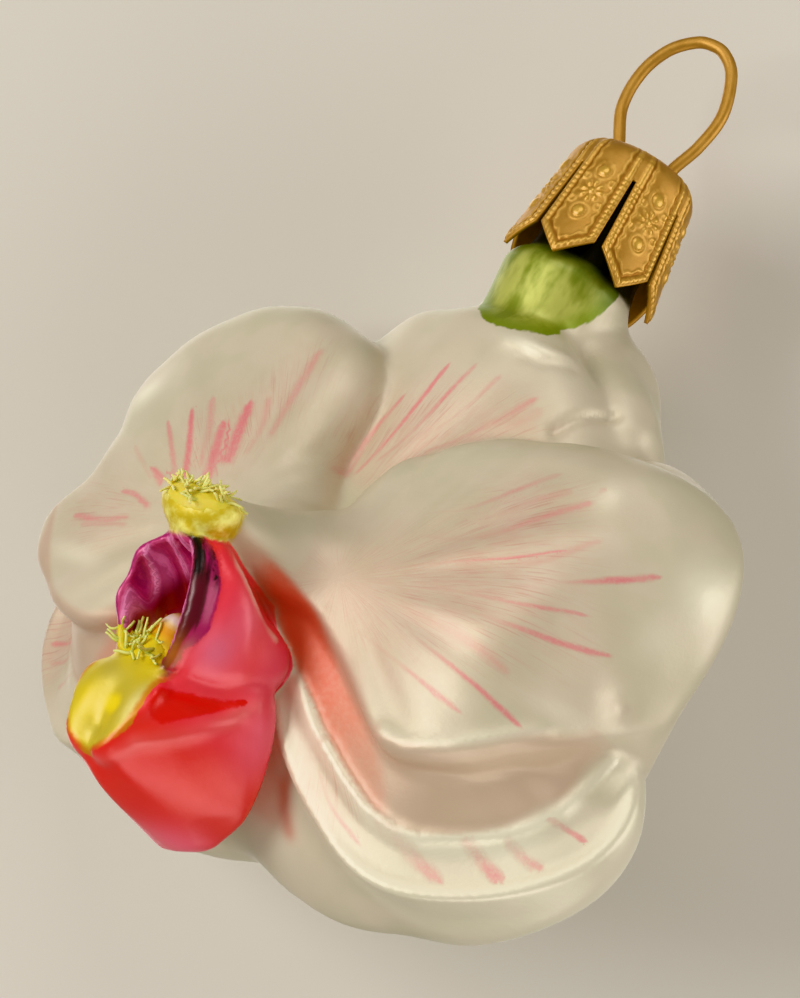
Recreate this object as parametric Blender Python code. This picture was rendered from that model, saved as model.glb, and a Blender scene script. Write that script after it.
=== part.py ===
# Hanging glass ornament in the shape of a moth orchid flower.
#
# The flower is blown in a two half mould, so it is one thin hollow shell: a front half that
# carries the relief of the flower and a plainer, bulging back half. A stamped metal cap sits
# over the open neck and a bent wire passes through the cap: a loop above it and two springy
# legs inside the neck. Two small tufts of short fibres are glued on the flower.
#
# Shapes are worked out in millimetres in the flower's own frame and placed in metres.
# Flower frame: the neck's axis is x = 0, y = 0, the mould's parting plane is y = 0, the flower
# faces -y and z runs up through the neck. The part's origin is the inside of the top of the
# wire loop, which lies LOOP_INSIDE_TOP above the flower frame's zero.
# Outlines are (x, z) seen from the front. Heights are (x, z, y): how far forward (minus y) or
# back (plus y) a surface lies at that place of the front view.

import math

import bmesh
import bpy
import numpy as np

MM = 0.001
LOOP_INSIDE_TOP = 53.95

# Glass
WALL = 1.0
OUTER_CELL = 0.9
INNER_CELL = 1.5
OUTER_TRIANGLES = 5400
INNER_TRIANGLES = 1500

# Neck and its painted front sleeve
NECK_TOP = 39.35
NECK_BASE = 18.8
NECK_RADIUS_TOP = 5.3
NECK_RADIUS_BASE = 6.1
BORE_RADIUS = 4.3
SLEEVE_TOP = 28.0
SLEEVE_BASE = 17.6
SLEEVE_SLANT = 0.22
SLEEVE_RADIUS = 5.75
SLEEVE_FORWARD = 0.9

# Cap
CAP_TOP = 40.6
CAP_THICKNESS = 0.4
CAP_TABS = 7
CAP_FIRST_TAB = -74.0
CAP_PROFILE = [(3.55, 40.6), (4.9, 40.3), (5.8, 39.6), (6.3, 38.6), (6.52, 36.8)]
TAB_TIP_RADIUS = 7.95
TAB_TIP = 26.8
TAB_CORNER = 29.4
TAB_GAP_TOP = 0.18
TAB_GAP_BOTTOM = 0.45
TAB_COLUMNS = 6
TAB_ROWS = 4

# Wire
WIRE_RADIUS = 0.55
WIRE_SIDES = 8
WIRE_HOLE_RADIUS = 0.95
LOOP_TURN = 20.0
LOOP = [(-2.95, 41.0), (-4.8, 45.2), (-4.85, 49.2), (-3.6, 52.3), (-1.6, 54.1), (0.0, 54.5), (1.6, 54.1), (3.3, 52.3), (4.5, 48.3),
        (4.0, 44.5), (2.75, 41.0)]
LEG = [(2.85, 38.0), (3.0, 34.0), (3.15, 30.0), (3.3, 26.0), (4.4, 20.0), (6.2, 14.0), (7.4, 10.0)]

# Fibres
FIBRE_SEED = 4
FIBRE_THICKNESS = 0.34
PAD_CELL = 0.48
PAD_GAP = 0.4
PAD_THICKNESS = 0.75
COLUMN_FIBRES = 16
LIP_FIBRES = 18

# The flower's lobes
PETAL_RIGHT = [(0.4, -13.4), (-0.6, -9.0), (-0.6, -3.0), (0.9, 2.0), (3.9, 4.8), (7.6, 6.9), (12.0, 8.5), (17.0, 9.6), (23.0, 10.6),
               (28.5, 10.4), (32.8, 7.8), (35.2, 2.8), (35.7, -3.0), (34.6, -8.0), (32.9, -12.0), (31.2, -15.4), (28.6, -18.8),
               (25.8, -21.6), (22.4, -23.2), (19.0, -23.2), (15.2, -20.8), (10.4, -17.4), (5.6, -14.8)]
PETAL_RIGHT_HEIGHTS = [(0, -10, -20.0), (0, -5, -14.2), (1, -1, -12.8), (4, 5, -11.5), (12, 8.5, -11.5), (20, 10, -10.5), (27, 9, -8.5),
                       (31, 7, -5.5), (34, 2, -4.5), (34, -3, -4.5), (32, -10, -5.0), (30.5, -15, -8.5), (28, -1, -11.5), (27, -8, -13.0),
                       (26, -14, -13.6), (26, -20.5, -13.0), (22.4, -23.2, -14.0), (18.6, -23.8, -14.5), (11, -20, -15.5), (4.5, -15, -18),
                       (15, -5, -15.3), (22, -6, -15.0), (6, -8, -16.3)]
# The left petal is given mirrored, as if it stood on the right
PETAL_LEFT = [(0.4, -13.4), (-0.6, -9.0), (1.4, -5.0), (4.2, -1.2), (5.4, 3.0), (5.8, 7.6), (8.8, 11.8), (15.0, 14.0), (22.0, 13.6),
              (27.3, 11.0), (30.7, 7.0), (33.3, 2.4), (32.6, -2.0), (30.4, -5.8), (31.3, -9.8), (33.2, -15.0), (31.0, -18.8),
              (26.6, -21.6), (21.4, -23.4), (16.5, -22.8), (10.0, -19.2), (5.2, -16.2)]
PETAL_LEFT_HEIGHTS = [(0, -10, -20.0), (0, -6, -15.0), (3, -1, -13.5), (5, 5, -12.5), (9, 12, -12.0), (20, 14, -12.0), (31, 8, -11.0),
                      (34, 0, -11.0), (33, -16, -12.0), (21, -23, -14.5), (11, -20, -15.5), (4.5, -15, -18), (15, -5, -16.0),
                      (24, -5, -15.5), (6, -8, -16.3)]
DORSAL = [(-14, -8), (-16, -2), (-16.8, 6), (-16.8, 12), (-15.6, 15.6), (-12.5, 18.4), (-7, 20.0), (0, 20.8), (5, 20.6), (9.5, 18.4),
          (12.6, 15.8), (15.4, 12.6), (17.6, 9), (17, -2), (14, -8)]
DORSAL_HEIGHTS = [(0, -8, -10), (0, 2, -9.0), (0, 10, -9.0), (0, 17, -8.5), (8, 12, -8.0), (10, 18, -6.0), (16, 12, -4.5),
                  (7, 2, -8.5), (14, 2, -8), (14, 17, -4)]
SEPAL = [(0.6, -13.0), (4.0, -17.2), (8.0, -20.8), (11.9, -24.2), (15.4, -26.5), (18.6, -28.0), (21.6, -28.2), (25.0, -26.6),
         (28.4, -23.6), (30.6, -19.2), (31.6, -13.8), (33.2, -14.2), (35.0, -18.0), (34.8, -22.6), (32.6, -26.6), (28.4, -30.3),
         (22.8, -33.0), (18.0, -33.0), (13.0, -30.6), (9.0, -27.6), (5.6, -23.4), (2.4, -18)]
SEPAL_RIGHT_HEIGHTS = [(1, -14, -16.5), (4.4, -17.6, -15.3), (10.8, -23.5, -13.3), (17.2, -27.2, -10.3), (22.5, -27.4, -7.5),
                       (27.0, -24.1, -5), (30, -19.7, -3), (31, -14, -0.5), (9.3, -27.5, -12.0), (12.9, -30.2, -10.3),
                       (18, -33, -8.5), (25.7, -31.4, -5.5), (32.3, -26.2, -2.5), (34.5, -20, -0.3)]
SEPAL_LEFT_HEIGHTS = [(1, -14, -16.5), (4.4, -17.6, -15.3), (10.8, -23.5, -13.3), (17.2, -27.2, -10.3), (22.5, -27.4, -8.5),
                      (27.0, -24.1, -6), (30, -19.7, -5), (31, -14, -5), (9.3, -27.5, -12.0), (12.9, -30.2, -10.3),
                      (18, -33, -8.5), (25.7, -31.4, -5.5), (32.3, -26.2, -4.5), (34.5, -20, -4.5)]
SEPAL_LIP = 1.0
SEPAL_LIP_WIDTH = 2.0
SEPAL_LEFT_SQUEEZE = 1.05
BACK_HALF = [(0, 23), (8, 21.6), (13.4, 19.4), (16.2, 16.0), (17.4, 13.0), (22.0, 12.8), (28.2, 10.8), (32.0, 6.0), (33.0, 0.4),
             (32.6, -5.0), (31.6, -10.0), (33.2, -15.0), (34.8, -19.6), (33.8, -24.6), (28.4, -29.8), (21.0, -33.6), (13.0, -36.2),
             (6.0, -35.8), (0, -34.4)]
BACK = BACK_HALF + [(-x, z) for x, z in BACK_HALF[-2:0:-1]]
BACK_HEIGHTS = [(0, 20, 8.5), (0, 10, 13), (0, -8, 15.5), (0, -24, 13.5), (0, -34, 8), (14, 18, 7), (17, 8, 11.5), (28, 8, 3.5),
                (34, 2, 1.5), (34, -8, 2.0), (20, -8, 13.0), (35, -18, 4.5), (22, -22, 11.5), (28, -29, 6.5), (10, -35, 8)]
FLOOR_HEIGHTS = [(0, -10, -13), (0, 10, -5), (10, 10, -4), (18, 10, -4), (30, 5, -5), (33, -10, -4), (0, -30, -7), (6, -30, -7.5),
                 (20, -10, -10), (0, -36, -3), (12, -36, -3), (25, -32, -1), (34, -24, 2), (6.5, -16.6, -15.6), (10.5, -19.8, -13.8),
                 (14.5, -23.0, -12.2), (17, -25.5, -10.8), (19.4, -24.0, -11.2), (22.6, -24.4, -10.0), (26.0, -23.0, -8.2),
                 (28.8, -20.4, -6.0), (31.2, -16.6, -3.6), (18.6, -27.6, -9.4), (21.6, -27.8, -8.0), (25.0, -26.2, -6.4),
                 (28.2, -23.2, -4.8), (30.6, -18.8, -3.0)]
LEFT_LOBE_SQUEEZE = 1.05
TOE_CUT = 31.1
LIP_HALF = [(0, -20), (5.4, -21.4), (8.0, -24.0), (8.4, -28.0), (7.5, -32.2), (5.5, -35.6), (3.4, -38.0), (0, -38.8)]
LIP = LIP_HALF + [(-x, z) for x, z in LIP_HALF[-2:0:-1]]
LIP_HEIGHTS = [(0, -19.6, -20), (0, -21.4, -23.8), (0, -26, -25.0), (0, -30, -25.4), (0, -33, -24.9), (0, -35.8, -23.6),
               (0, -37.7, -17.5), (0, -38.4, -9), (3.2, -21.4, -20.0), (4.3, -24.5, -21.2), (7.6, -24.5, -18.6), (4.4, -28, -24.6),
               (6.4, -28.5, -21.6), (8.2, -28, -16.5), (5, -32.0, -22.8), (7, -32.5, -15), (3.0, -35.6, -22.0), (3.5, -37, -13),
               (5, -37, -8)]


def clear_scene():
    """Take out whatever the file starts with."""
    for thing in list(bpy.data.objects):
        bpy.data.objects.remove(thing, do_unlink=True)


# Field helpers: a field is negative inside the solid and roughly measures millimetres


def smooth_closed(points, per=6):
    """Closed smooth curve through the given points."""
    p = np.asarray(points, float)
    n = len(p)
    out = []
    for i in range(n):
        a, b, c, d = p[i - 1], p[i], p[(i + 1) % n], p[(i + 2) % n]
        for k in range(per):
            t = k / per
            cubic = 3 * b - a - 3 * c + d
            out.append(0.5 * (2 * b + (c - a) * t + (2 * a - 5 * b + 4 * c - d) * t * t + cubic * t ** 3))
    return np.array(out)


def outline_distance(x, z, points):
    """Signed distance in the front view to a closed outline."""
    curve = smooth_closed(points)
    nearest = np.full(x.shape, 1e9)
    inside = np.zeros(x.shape, bool)
    for a, b in zip(curve, np.roll(curve, -1, axis=0)):
        e = b - a
        wx, wz = x - a[0], z - a[1]
        t = np.clip((wx * e[0] + wz * e[1]) / (e @ e + 1e-12), 0, 1)
        nearest = np.minimum(nearest, (wx - t * e[0]) ** 2 + (wz - t * e[1]) ** 2)
        if a[1] != b[1]:
            crosses = (a[1] > z) != (b[1] > z)
            inside ^= crosses & (x < e[0] * (z - a[1]) / e[1] + a[0])
    d = np.sqrt(nearest)
    return np.where(inside, -d, d)


def sheet(x, z, heights, mirrored=False):
    """Smooth sheet y(x, z) through the given heights, a thin plate spline."""
    p = np.asarray(heights, float)
    if mirrored:
        p = np.vstack([p, p[p[:, 0] > 0.01] * np.array([-1, 1, 1])])

    def bend(r2):
        return 0.5 * r2 * np.log(r2 + 1e-9)

    n = len(p)
    m = np.zeros((n + 3, n + 3))
    m[:n, :n] = bend((p[:, None, 0] - p[None, :, 0]) ** 2 + (p[:, None, 1] - p[None, :, 1]) ** 2)
    m[:n, n:] = np.c_[np.ones(n), p[:, 0], p[:, 1]]
    m[n:, :n] = m[:n, n:].T
    w = np.linalg.solve(m, np.r_[p[:, 2], 0, 0, 0])
    out = w[n] + w[n + 1] * x + w[n + 2] * z
    for k in range(n):
        out = out + w[k] * bend((x - p[k, 0]) ** 2 + (z - p[k, 1]) ** 2)
    return out


def ease(t):
    t = np.clip(t, 0, 1)
    return t * t * (3 - 2 * t)


def join(a, b, k):
    """Union of two fields with a fillet of about k."""
    h = np.clip(0.5 + 0.5 * (b - a) / k, 0, 1)
    return b + (a - b) * h - k * h * (1 - h)


def carve(a, b, k):
    """Take the solid b out of the solid a, edge softened by k."""
    return -join(-a, b, k)


def meet(a, b, r):
    """Common part of two solids with the edge rounded to radius r."""
    u, v = np.maximum(a + r, 0), np.maximum(b + r, 0)
    return np.sqrt(u * u + v * v) - r + np.minimum(np.maximum(a + r, b + r), 0)


def ellipsoid(x, y, z, centre, radii):
    px, py, pz = (x - centre[0]) / radii[0], (y - centre[1]) / radii[1], (z - centre[2]) / radii[2]
    k0 = np.sqrt(px * px + py * py + pz * pz) + 1e-9
    k1 = np.sqrt((px / radii[0]) ** 2 + (py / radii[1]) ** 2 + (pz / radii[2]) ** 2) + 1e-9
    return k0 * (k0 - 1) / k1


def cone(x, y, z, a, b, radius_a, radius_b):
    """Round ended cone from a to b."""
    a, b = np.asarray(a, float), np.asarray(b, float)
    e = b - a
    px, py, pz = x - a[0], y - a[1], z - a[2]
    t = np.clip((px * e[0] + py * e[1] + pz * e[2]) / (e @ e), 0, 1)
    d = np.sqrt((px - t * e[0]) ** 2 + (py - t * e[1]) ** 2 + (pz - t * e[2]) ** 2)
    return d - (radius_a + (radius_b - radius_a) * t)


def front_view_fields(x, z):
    """Everything that depends on the front view only."""
    f = {}
    f["right_edge"] = outline_distance(x, z, PETAL_RIGHT)
    f["left_edge"] = outline_distance(-x, z, PETAL_LEFT)
    f["dorsal_edge"] = outline_distance(x, z, DORSAL)
    f["sepal_edge"] = outline_distance(np.where(x > 0, x, -x * SEPAL_LEFT_SQUEEZE), z, SEPAL)
    f["back_edge"] = outline_distance(x, z, BACK)
    f["lip_edge"] = outline_distance(x + 0.9 * ease((-33 - z) / 4), z, LIP)
    f["right"] = sheet(x, z, PETAL_RIGHT_HEIGHTS)
    f["left"] = sheet(-x, z, PETAL_LEFT_HEIGHTS)
    f["dorsal"] = sheet(x, z, DORSAL_HEIGHTS, True)
    f["floor"] = sheet(x, z, FLOOR_HEIGHTS, True)
    f["back"] = sheet(x, z, BACK_HEIGHTS, True)
    f["lip"] = sheet(x, z, LIP_HEIGHTS, True)
    # the lateral sepals are dished, with a raised rim
    rim = np.clip(1 + f["sepal_edge"] / SEPAL_LIP_WIDTH, 0, 1)
    base = np.where(x > 0, sheet(x, z, SEPAL_RIGHT_HEIGHTS), sheet(-x, z, SEPAL_LEFT_HEIGHTS))
    f["sepal"] = base + 0.6 - SEPAL_LIP * rim ** 2
    # petal edges are crisp below and soft above
    f["petal_round"] = 1.2 + 3.0 * ease((z + 15.0) / 10.0)
    return f


def flower_field(x, y, z, f):
    """Outside of the whole blown body."""
    back = (y - f["back"]) * 0.9
    base = meet(meet(f["back_edge"], back, 6.0), f["floor"] - y, 4.0)
    right = meet(meet(f["right_edge"], f["right"] - y, f["petal_round"]), back, 3.0)
    left = meet(meet(f["left_edge"], f["left"] - y, f["petal_round"]), back, 3.0)
    dorsal = meet(meet(f["dorsal_edge"], f["dorsal"] - y, 3.0), back, 3.0)
    sepal = meet(meet(f["sepal_edge"], f["sepal"] - y, 1.0), back, 3.0)
    shoulder = ellipsoid(x, y, z, (0, 4.0, 16.5), (13.0, 7.0, 9.5))
    boss = cone(x, y, z, (1.0, -14, -11.5), (0, -24, -12.8), 4.2, 2.8)
    taper = 1 + 0.16 * np.clip(z + 13.3, -3, 3)
    column = ellipsoid((x + 0.4) / taper, y, z, (0, -26.7, -13.3), (4.2, 3.4, 2.5))
    column = meet(column, 0.73 * x + 0.68 * (y + 26.7) - 0.09 * (z + 13.3) - 2.9, 1.0)
    # the lip: two side lobes around a hollow throat, and the middle lobe below them
    across = np.where(x < 0, x * LEFT_LOBE_SQUEEZE, x)
    bowl = ellipsoid(across, y + 0.3 * (z + 20.9), z, (0, -20.6, -21.2), (7.3, 8.3, 8.1))
    bowl = bowl + 0.22 * np.sin(1.5 * z + 0.6) * ease(-x / 2.0)
    bowl = meet(bowl, 0.54 * np.abs(x) + 0.25 * y + 0.80 * z + 16.3, 0.6)
    side_lobes = join(bowl, ellipsoid(np.abs(x), y, z, (5.2, -17.6, -21.2), (2.6, 3.2, 2.9)), 1.5)
    throat = ellipsoid(x, y, z, (0, -28.0, -22.0), (3.8, 7.6, 6.2))
    rear = (y + 14.4 + 0.52 * (z + 24.7)) * 0.8
    toe = 0.25 * np.abs(x + 2.0) - 0.5 + 0.47 * (y + 6.15) - 0.85 * z - TOE_CUT
    middle_lobe = meet(meet(meet(f["lip_edge"], (f["lip"] - y) * 0.8, 1.4), rear, 0.8), toe, 0.8)
    root = ellipsoid(x, y, z, (0, -13, -24), (4.0, 6.0, 9.0))
    lip = join(join(carve(side_lobes, throat, 0.8), middle_lobe, 0.8), root, 1.0)
    # the neck, with the raised sleeve on its front
    radius = NECK_RADIUS_TOP + (NECK_RADIUS_BASE - NECK_RADIUS_TOP) * ease((30.0 - z) / 5.0)
    mid, half = (NECK_TOP + NECK_BASE) / 2, (NECK_TOP - NECK_BASE) / 2
    neck = meet(np.sqrt(x * x + y * y) - radius, np.abs(z - mid) - half, 0.3)
    low = SLEEVE_BASE + SLEEVE_SLANT * x
    radius = SLEEVE_RADIUS + 0.09 * np.clip(z - 19.0, 0, 7)
    ends = np.abs(z - (SLEEVE_TOP + low) / 2) - (SLEEVE_TOP - low) / 2
    sleeve = meet(np.sqrt(x * x + (y + SLEEVE_FORWARD) ** 2) - radius, ends, 2.4)
    v = join(base, right, 1.2)
    v = join(v, left, 1.0)
    v = join(v, shoulder, 2.0)
    v = join(v, dorsal, 1.0)
    v = join(v, sepal, 1.0)
    v = join(v, neck, 2.0)
    v = join(v, sleeve, 0.6)
    v = join(v, boss, 4.0)
    v = join(v, lip, 0.8)
    return join(v, column, 0.8)


def bore_field(x, y, z):
    """Straight bore that opens the neck."""
    return np.maximum(np.sqrt(x * x + y * y) - BORE_RADIUS, np.abs(z - 33.0) - 9.0)


# Turning a field into a closed mesh


def grid_axes(low, high, cell):
    return [np.arange(a, b + cell, cell) for a, b in zip(low, high)]


def sample_flower(axes):
    flat_x, flat_z = np.meshgrid(axes[0], axes[2], indexing="ij")
    flat = front_view_fields(flat_x, flat_z)
    f = {name: value[:, None, :] for name, value in flat.items()}
    x, y, z = axes[0][:, None, None], axes[1][None, :, None], axes[2][None, None, :]
    v = flower_field(x, y, z, f)
    return np.broadcast_to(v, tuple(len(a) for a in axes)), x, y, z


def evened(v, cell):
    """Rescale a sampled field so that it measures true millimetres near its surface."""
    slope = np.sqrt(sum(g * g for g in np.gradient(v, cell)))
    return v / np.clip(slope, 0.5, 4.0)


def without_pinches(v, fill):
    """Fill or open the few samples where two parts of the solid would meet along an edge only."""
    v = np.array(v)
    while True:
        inside = v < 0
        change = np.zeros(v.shape, bool)
        for a, b in ((0, 1), (0, 2), (1, 2)):
            near = [slice(None)] * 3
            views = {}
            for p in (0, 1):
                for q in (0, 1):
                    near[a] = slice(p, v.shape[a] - 1 + p)
                    near[b] = slice(q, v.shape[b] - 1 + q)
                    views[p, q] = tuple(near)
            crossed = inside[views[0, 0]] != inside[views[0, 1]]
            crossed &= inside[views[0, 0]] == inside[views[1, 1]]
            crossed &= inside[views[0, 1]] == inside[views[1, 0]]
            for where in views.values():
                change[where] |= crossed & (inside[where] != fill)
        corner = {(p, q, r): tuple(slice(t, n - 1 + t) for t, n in zip((p, q, r), v.shape))
                  for p in (0, 1) for q in (0, 1) for r in (0, 1)}
        count = sum(inside[where].astype(int) for where in corner.values())
        for one in ((0, 0, 0), (0, 0, 1), (0, 1, 0), (1, 0, 0)):
            other = tuple(1 - t for t in one)
            same = inside[corner[one]] == inside[corner[other]]
            alone = same & (count == np.where(inside[corner[one]], 2, 6))
            for where in corner.values():
                change[where] |= alone & (inside[where] != fill)
        if not change.any():
            return v
        v[change] = -0.02 if fill else 0.02


def surface_of(v, axes, fill=True):
    """Quads around the zero level of a sampled field, one corner per crossed cell."""
    v = without_pinches(v, fill)
    inside = v < 0
    count = np.zeros(tuple(s - 1 for s in v.shape), int)
    for i in (0, 1):
        for j in (0, 1):
            for k in (0, 1):
                count += inside[i:inside.shape[0] - 1 + i, j:inside.shape[1] - 1 + j, k:inside.shape[2] - 1 + k]
    cells = np.argwhere((count > 0) & (count < 8))
    index = np.full(count.shape, -1)
    index[tuple(cells.T)] = np.arange(len(cells))
    total = np.zeros((len(cells), 3))
    hits = np.zeros(len(cells))
    for axis in range(3):
        others = [a for a in range(3) if a != axis]
        for p in (0, 1):
            for q in (0, 1):
                start = cells.copy()
                start[:, others[0]] += p
                start[:, others[1]] += q
                end = start.copy()
                end[:, axis] += 1
                va, vb = v[tuple(start.T)], v[tuple(end.T)]
                crossed = (va < 0) != (vb < 0)
                t = np.where(crossed, va / np.where(crossed, va - vb, 1), 0)
                place = start.astype(float)
                place[:, axis] += t
                total[crossed] += place[crossed]
                hits += crossed
    corners = total / hits[:, None]
    quads = []
    for axis in range(3):
        b, c = (axis + 1) % 3, (axis + 2) % 3
        lower = np.take(inside, np.arange(v.shape[axis] - 1), axis=axis)
        upper = np.take(inside, np.arange(1, v.shape[axis]), axis=axis)
        for sign, edges in ((1, lower & ~upper), (0, upper & ~lower)):
            at = np.argwhere(edges)
            ring = []
            for db, dc in ((-1, -1), (0, -1), (0, 0), (-1, 0)):
                cell = at.copy()
                cell[:, b] += db
                cell[:, c] += dc
                ring.append(index[tuple(cell.T)])
            quad = np.stack(ring, 1)
            quads.append(quad if sign else quad[:, ::-1])
    low = np.array([a[0] for a in axes])
    step = np.array([a[1] - a[0] for a in axes])
    return low + corners * step, np.concatenate(quads)


def place(points):
    """Millimetres in the flower frame to metres with the origin in the loop."""
    p = np.asarray(points, float).copy()
    p[:, 2] -= LOOP_INSIDE_TOP
    return p * MM


def new_object(name, points, faces):
    mesh = bpy.data.meshes.new(name)
    mesh.from_pydata([tuple(p) for p in place(points)], [], [tuple(int(i) for i in f) for f in faces])
    mesh.update()
    thing = bpy.data.objects.new(name, mesh)
    bpy.context.scene.collection.objects.link(thing)
    return thing


def bake(thing):
    """Apply the modifiers."""
    graph = bpy.context.evaluated_depsgraph_get()
    mesh = bpy.data.meshes.new_from_object(thing.evaluated_get(graph))
    thing.modifiers.clear()
    thing.data = mesh


def drop_small_shells(bm):
    """Drop every loose shell but the largest."""
    left = set(bm.verts)
    shells = []
    while left:
        seed = left.pop()
        shell, front = {seed}, [seed]
        while front:
            vert = front.pop()
            for edge in vert.link_edges:
                other = edge.other_vert(vert)
                if other not in shell:
                    shell.add(other)
                    front.append(other)
        left -= shell
        shells.append(shell)
    shells.sort(key=len)
    for shell in shells[:-1]:
        bmesh.ops.delete(bm, geom=list(shell), context="VERTS")


def keep_largest(thing):
    bm = bmesh.new()
    bm.from_mesh(thing.data)
    drop_small_shells(bm)
    bm.to_mesh(thing.data)
    bm.free()


def thin_out(thing, triangles):
    """Merge flat areas down to about the given number of triangles."""
    count = sum(len(p.vertices) - 2 for p in thing.data.polygons)
    if count > triangles:
        step = thing.modifiers.new("fewer", "DECIMATE")
        step.ratio = triangles / count
        bake(thing)


def subtract(thing, cutter):
    step = thing.modifiers.new("cut", "BOOLEAN")
    step.operation = "DIFFERENCE"
    step.solver = "EXACT"
    step.object = cutter
    bake(thing)
    bpy.data.objects.remove(cutter, do_unlink=True)


def make_glass():
    """The hollow flower: outside skin less the inside skin, open at the neck."""
    axes = grid_axes((-37.3, -32.3, -40.6), (37.3, 18.3, 41.3), OUTER_CELL)
    v, x, y, z = sample_flower(axes)
    flower = new_object("glass_flower", *surface_of(v, axes))
    keep_largest(flower)
    thin_out(flower, OUTER_TRIANGLES)
    axes = grid_axes((-37.1, -32.2, -40.5), (37.1, 18.2, 44.6), INNER_CELL)
    v, x, y, z = sample_flower(axes)
    inside = np.minimum(evened(v, INNER_CELL) + WALL, bore_field(x, y, z))
    hollow = new_object("hollow", *surface_of(inside, axes, False))
    keep_largest(hollow)
    thin_out(hollow, INNER_TRIANGLES)
    subtract(flower, hollow)
    return flower


def make_cap():
    """Stamped cap: domed top, and pointed tabs that stand away from the neck."""
    columns = TAB_COLUMNS + 1
    centre = [math.radians(CAP_FIRST_TAB + 360.0 / CAP_TABS * k) for k in range(CAP_TABS)]
    half = math.pi / CAP_TABS
    points, faces = [], []
    layers = {}
    for side, inset in (("out", 0.0), ("in", CAP_THICKNESS)):
        rings = []
        for n, (r, z) in enumerate(CAP_PROFILE):
            before = CAP_PROFILE[max(n - 1, 0)]
            after = CAP_PROFILE[min(n + 1, len(CAP_PROFILE) - 1)]
            dr, dz = after[0] - before[0], after[1] - before[1]
            length = math.hypot(dr, dz)
            rr, zz = r + inset * dz / length, z - inset * dr / length
            ring = []
            for c in centre:
                gap = TAB_GAP_TOP / r
                for j in range(columns):
                    a = c + (half - gap) * (2 * j / TAB_COLUMNS - 1)
                    ring.append(len(points))
                    points.append((rr * math.cos(a), rr * math.sin(a), zz))
            rings.append(ring)
        layers[side] = rings
    hub = {}
    for side, inset in (("out", 0.0), ("in", CAP_THICKNESS)):
        hub[side] = len(points)
        points.append((0.0, 0.0, CAP_TOP - inset))
    total = CAP_TABS * columns
    for i in range(total):
        k = (i + 1) % total
        faces.append((hub["out"], layers["out"][0][i], layers["out"][0][k]))
        faces.append((hub["in"], layers["in"][0][k], layers["in"][0][i]))
        for n in range(len(CAP_PROFILE) - 1):
            upper, lower = layers["out"][n], layers["out"][n + 1]
            faces.append((upper[i], lower[i], lower[k], upper[k]))
            upper, lower = layers["in"][n], layers["in"][n + 1]
            faces.append((upper[k], lower[k], lower[i], upper[i]))
    top_radius, top = CAP_PROFILE[-1]
    for t, c in enumerate(centre):
        sheets = {}
        for side, inset in (("out", 0.0), ("in", CAP_THICKNESS)):
            rows = [layers[side][-1][t * columns:(t + 1) * columns]]
            for n in range(1, TAB_ROWS + 1):
                row = []
                for j in range(columns):
                    u = 2 * j / TAB_COLUMNS - 1
                    end = TAB_TIP + (TAB_CORNER - TAB_TIP) * abs(u)
                    z = top + (end - top) * n / TAB_ROWS
                    s = (top - z) / (top - TAB_TIP)
                    r = top_radius + (TAB_TIP_RADIUS - top_radius) * s
                    gap = (TAB_GAP_TOP + (TAB_GAP_BOTTOM - TAB_GAP_TOP) * s) / r
                    a = c + (half - gap) * u
                    row.append(len(points))
                    points.append(((r - inset) * math.cos(a), (r - inset) * math.sin(a), z))
                rows.append(row)
            sheets[side] = rows
        out, inn = sheets["out"], sheets["in"]
        for n in range(TAB_ROWS):
            for j in range(TAB_COLUMNS):
                faces.append((out[n][j], out[n + 1][j], out[n + 1][j + 1], out[n][j + 1]))
                faces.append((inn[n][j + 1], inn[n + 1][j + 1], inn[n + 1][j], inn[n][j]))
            faces.append((out[n + 1][0], out[n][0], inn[n][0], inn[n + 1][0]))
            faces.append((out[n][-1], out[n + 1][-1], inn[n + 1][-1], inn[n][-1]))
        for j in range(TAB_COLUMNS):
            faces.append((out[-1][j], inn[-1][j], inn[-1][j + 1], out[-1][j + 1]))
        # the top end of the slit to the next tab
        a, b = (t + 1) * columns - 1, ((t + 1) % CAP_TABS) * columns
        faces.append((layers["out"][-1][a], layers["in"][-1][a], layers["in"][-1][b], layers["out"][-1][b]))
    cap = new_object("crown_cap", points, faces)
    turn = math.radians(LOOP_TURN)
    for u in (LOOP[0][0], LOOP[-1][0]):
        sides = 12
        ring = []
        for z in (CAP_TOP - 2.5, CAP_TOP + 1.5):
            for k in range(sides):
                a = 2 * math.pi * k / sides
                ring.append((u * math.cos(turn) + WIRE_HOLE_RADIUS * math.cos(a),
                             u * math.sin(turn) + WIRE_HOLE_RADIUS * math.sin(a), z))
        walls = [(k, (k + 1) % sides, sides + (k + 1) % sides, sides + k) for k in range(sides)]
        ends = [tuple(range(sides))[::-1], tuple(range(sides, 2 * sides))]
        subtract(cap, new_object("punch", ring, walls + ends))
    return cap


def smooth_open(points, per):
    """Open smooth curve through the given points."""
    p = [np.asarray(q, float) for q in points]
    p = [2 * p[0] - p[1]] + p + [2 * p[-1] - p[-2]]
    out = []
    for a, b, c, d in zip(p, p[1:], p[2:], p[3:]):
        for k in range(per):
            t = k / per
            cubic = 3 * b - a - 3 * c + d
            out.append(0.5 * (2 * b + (c - a) * t + (2 * a - 5 * b + 4 * c - d) * t * t + cubic * t ** 3))
    out.append(p[-2])
    return np.array(out)


def tube(path, normal, radius, sides):
    """Round bar along a flat path whose plane has the given normal."""
    points, faces = [], []
    n = len(path)
    for i, q in enumerate(path):
        along = path[min(i + 1, n - 1)] - path[max(i - 1, 0)]
        along = along / np.linalg.norm(along)
        across = np.cross(normal, along)
        for k in range(sides):
            a = 2 * math.pi * (k + 0.5) / sides
            points.append(q + radius * (math.cos(a) * across + math.sin(a) * normal))
    for i in range(n - 1):
        for k in range(sides):
            a, b = i * sides + k, i * sides + (k + 1) % sides
            faces.append((a, b, b + sides, a + sides))
    faces.append(tuple(range(sides))[::-1])
    faces.append(tuple(range((n - 1) * sides, n * sides)))
    return points, faces


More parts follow.
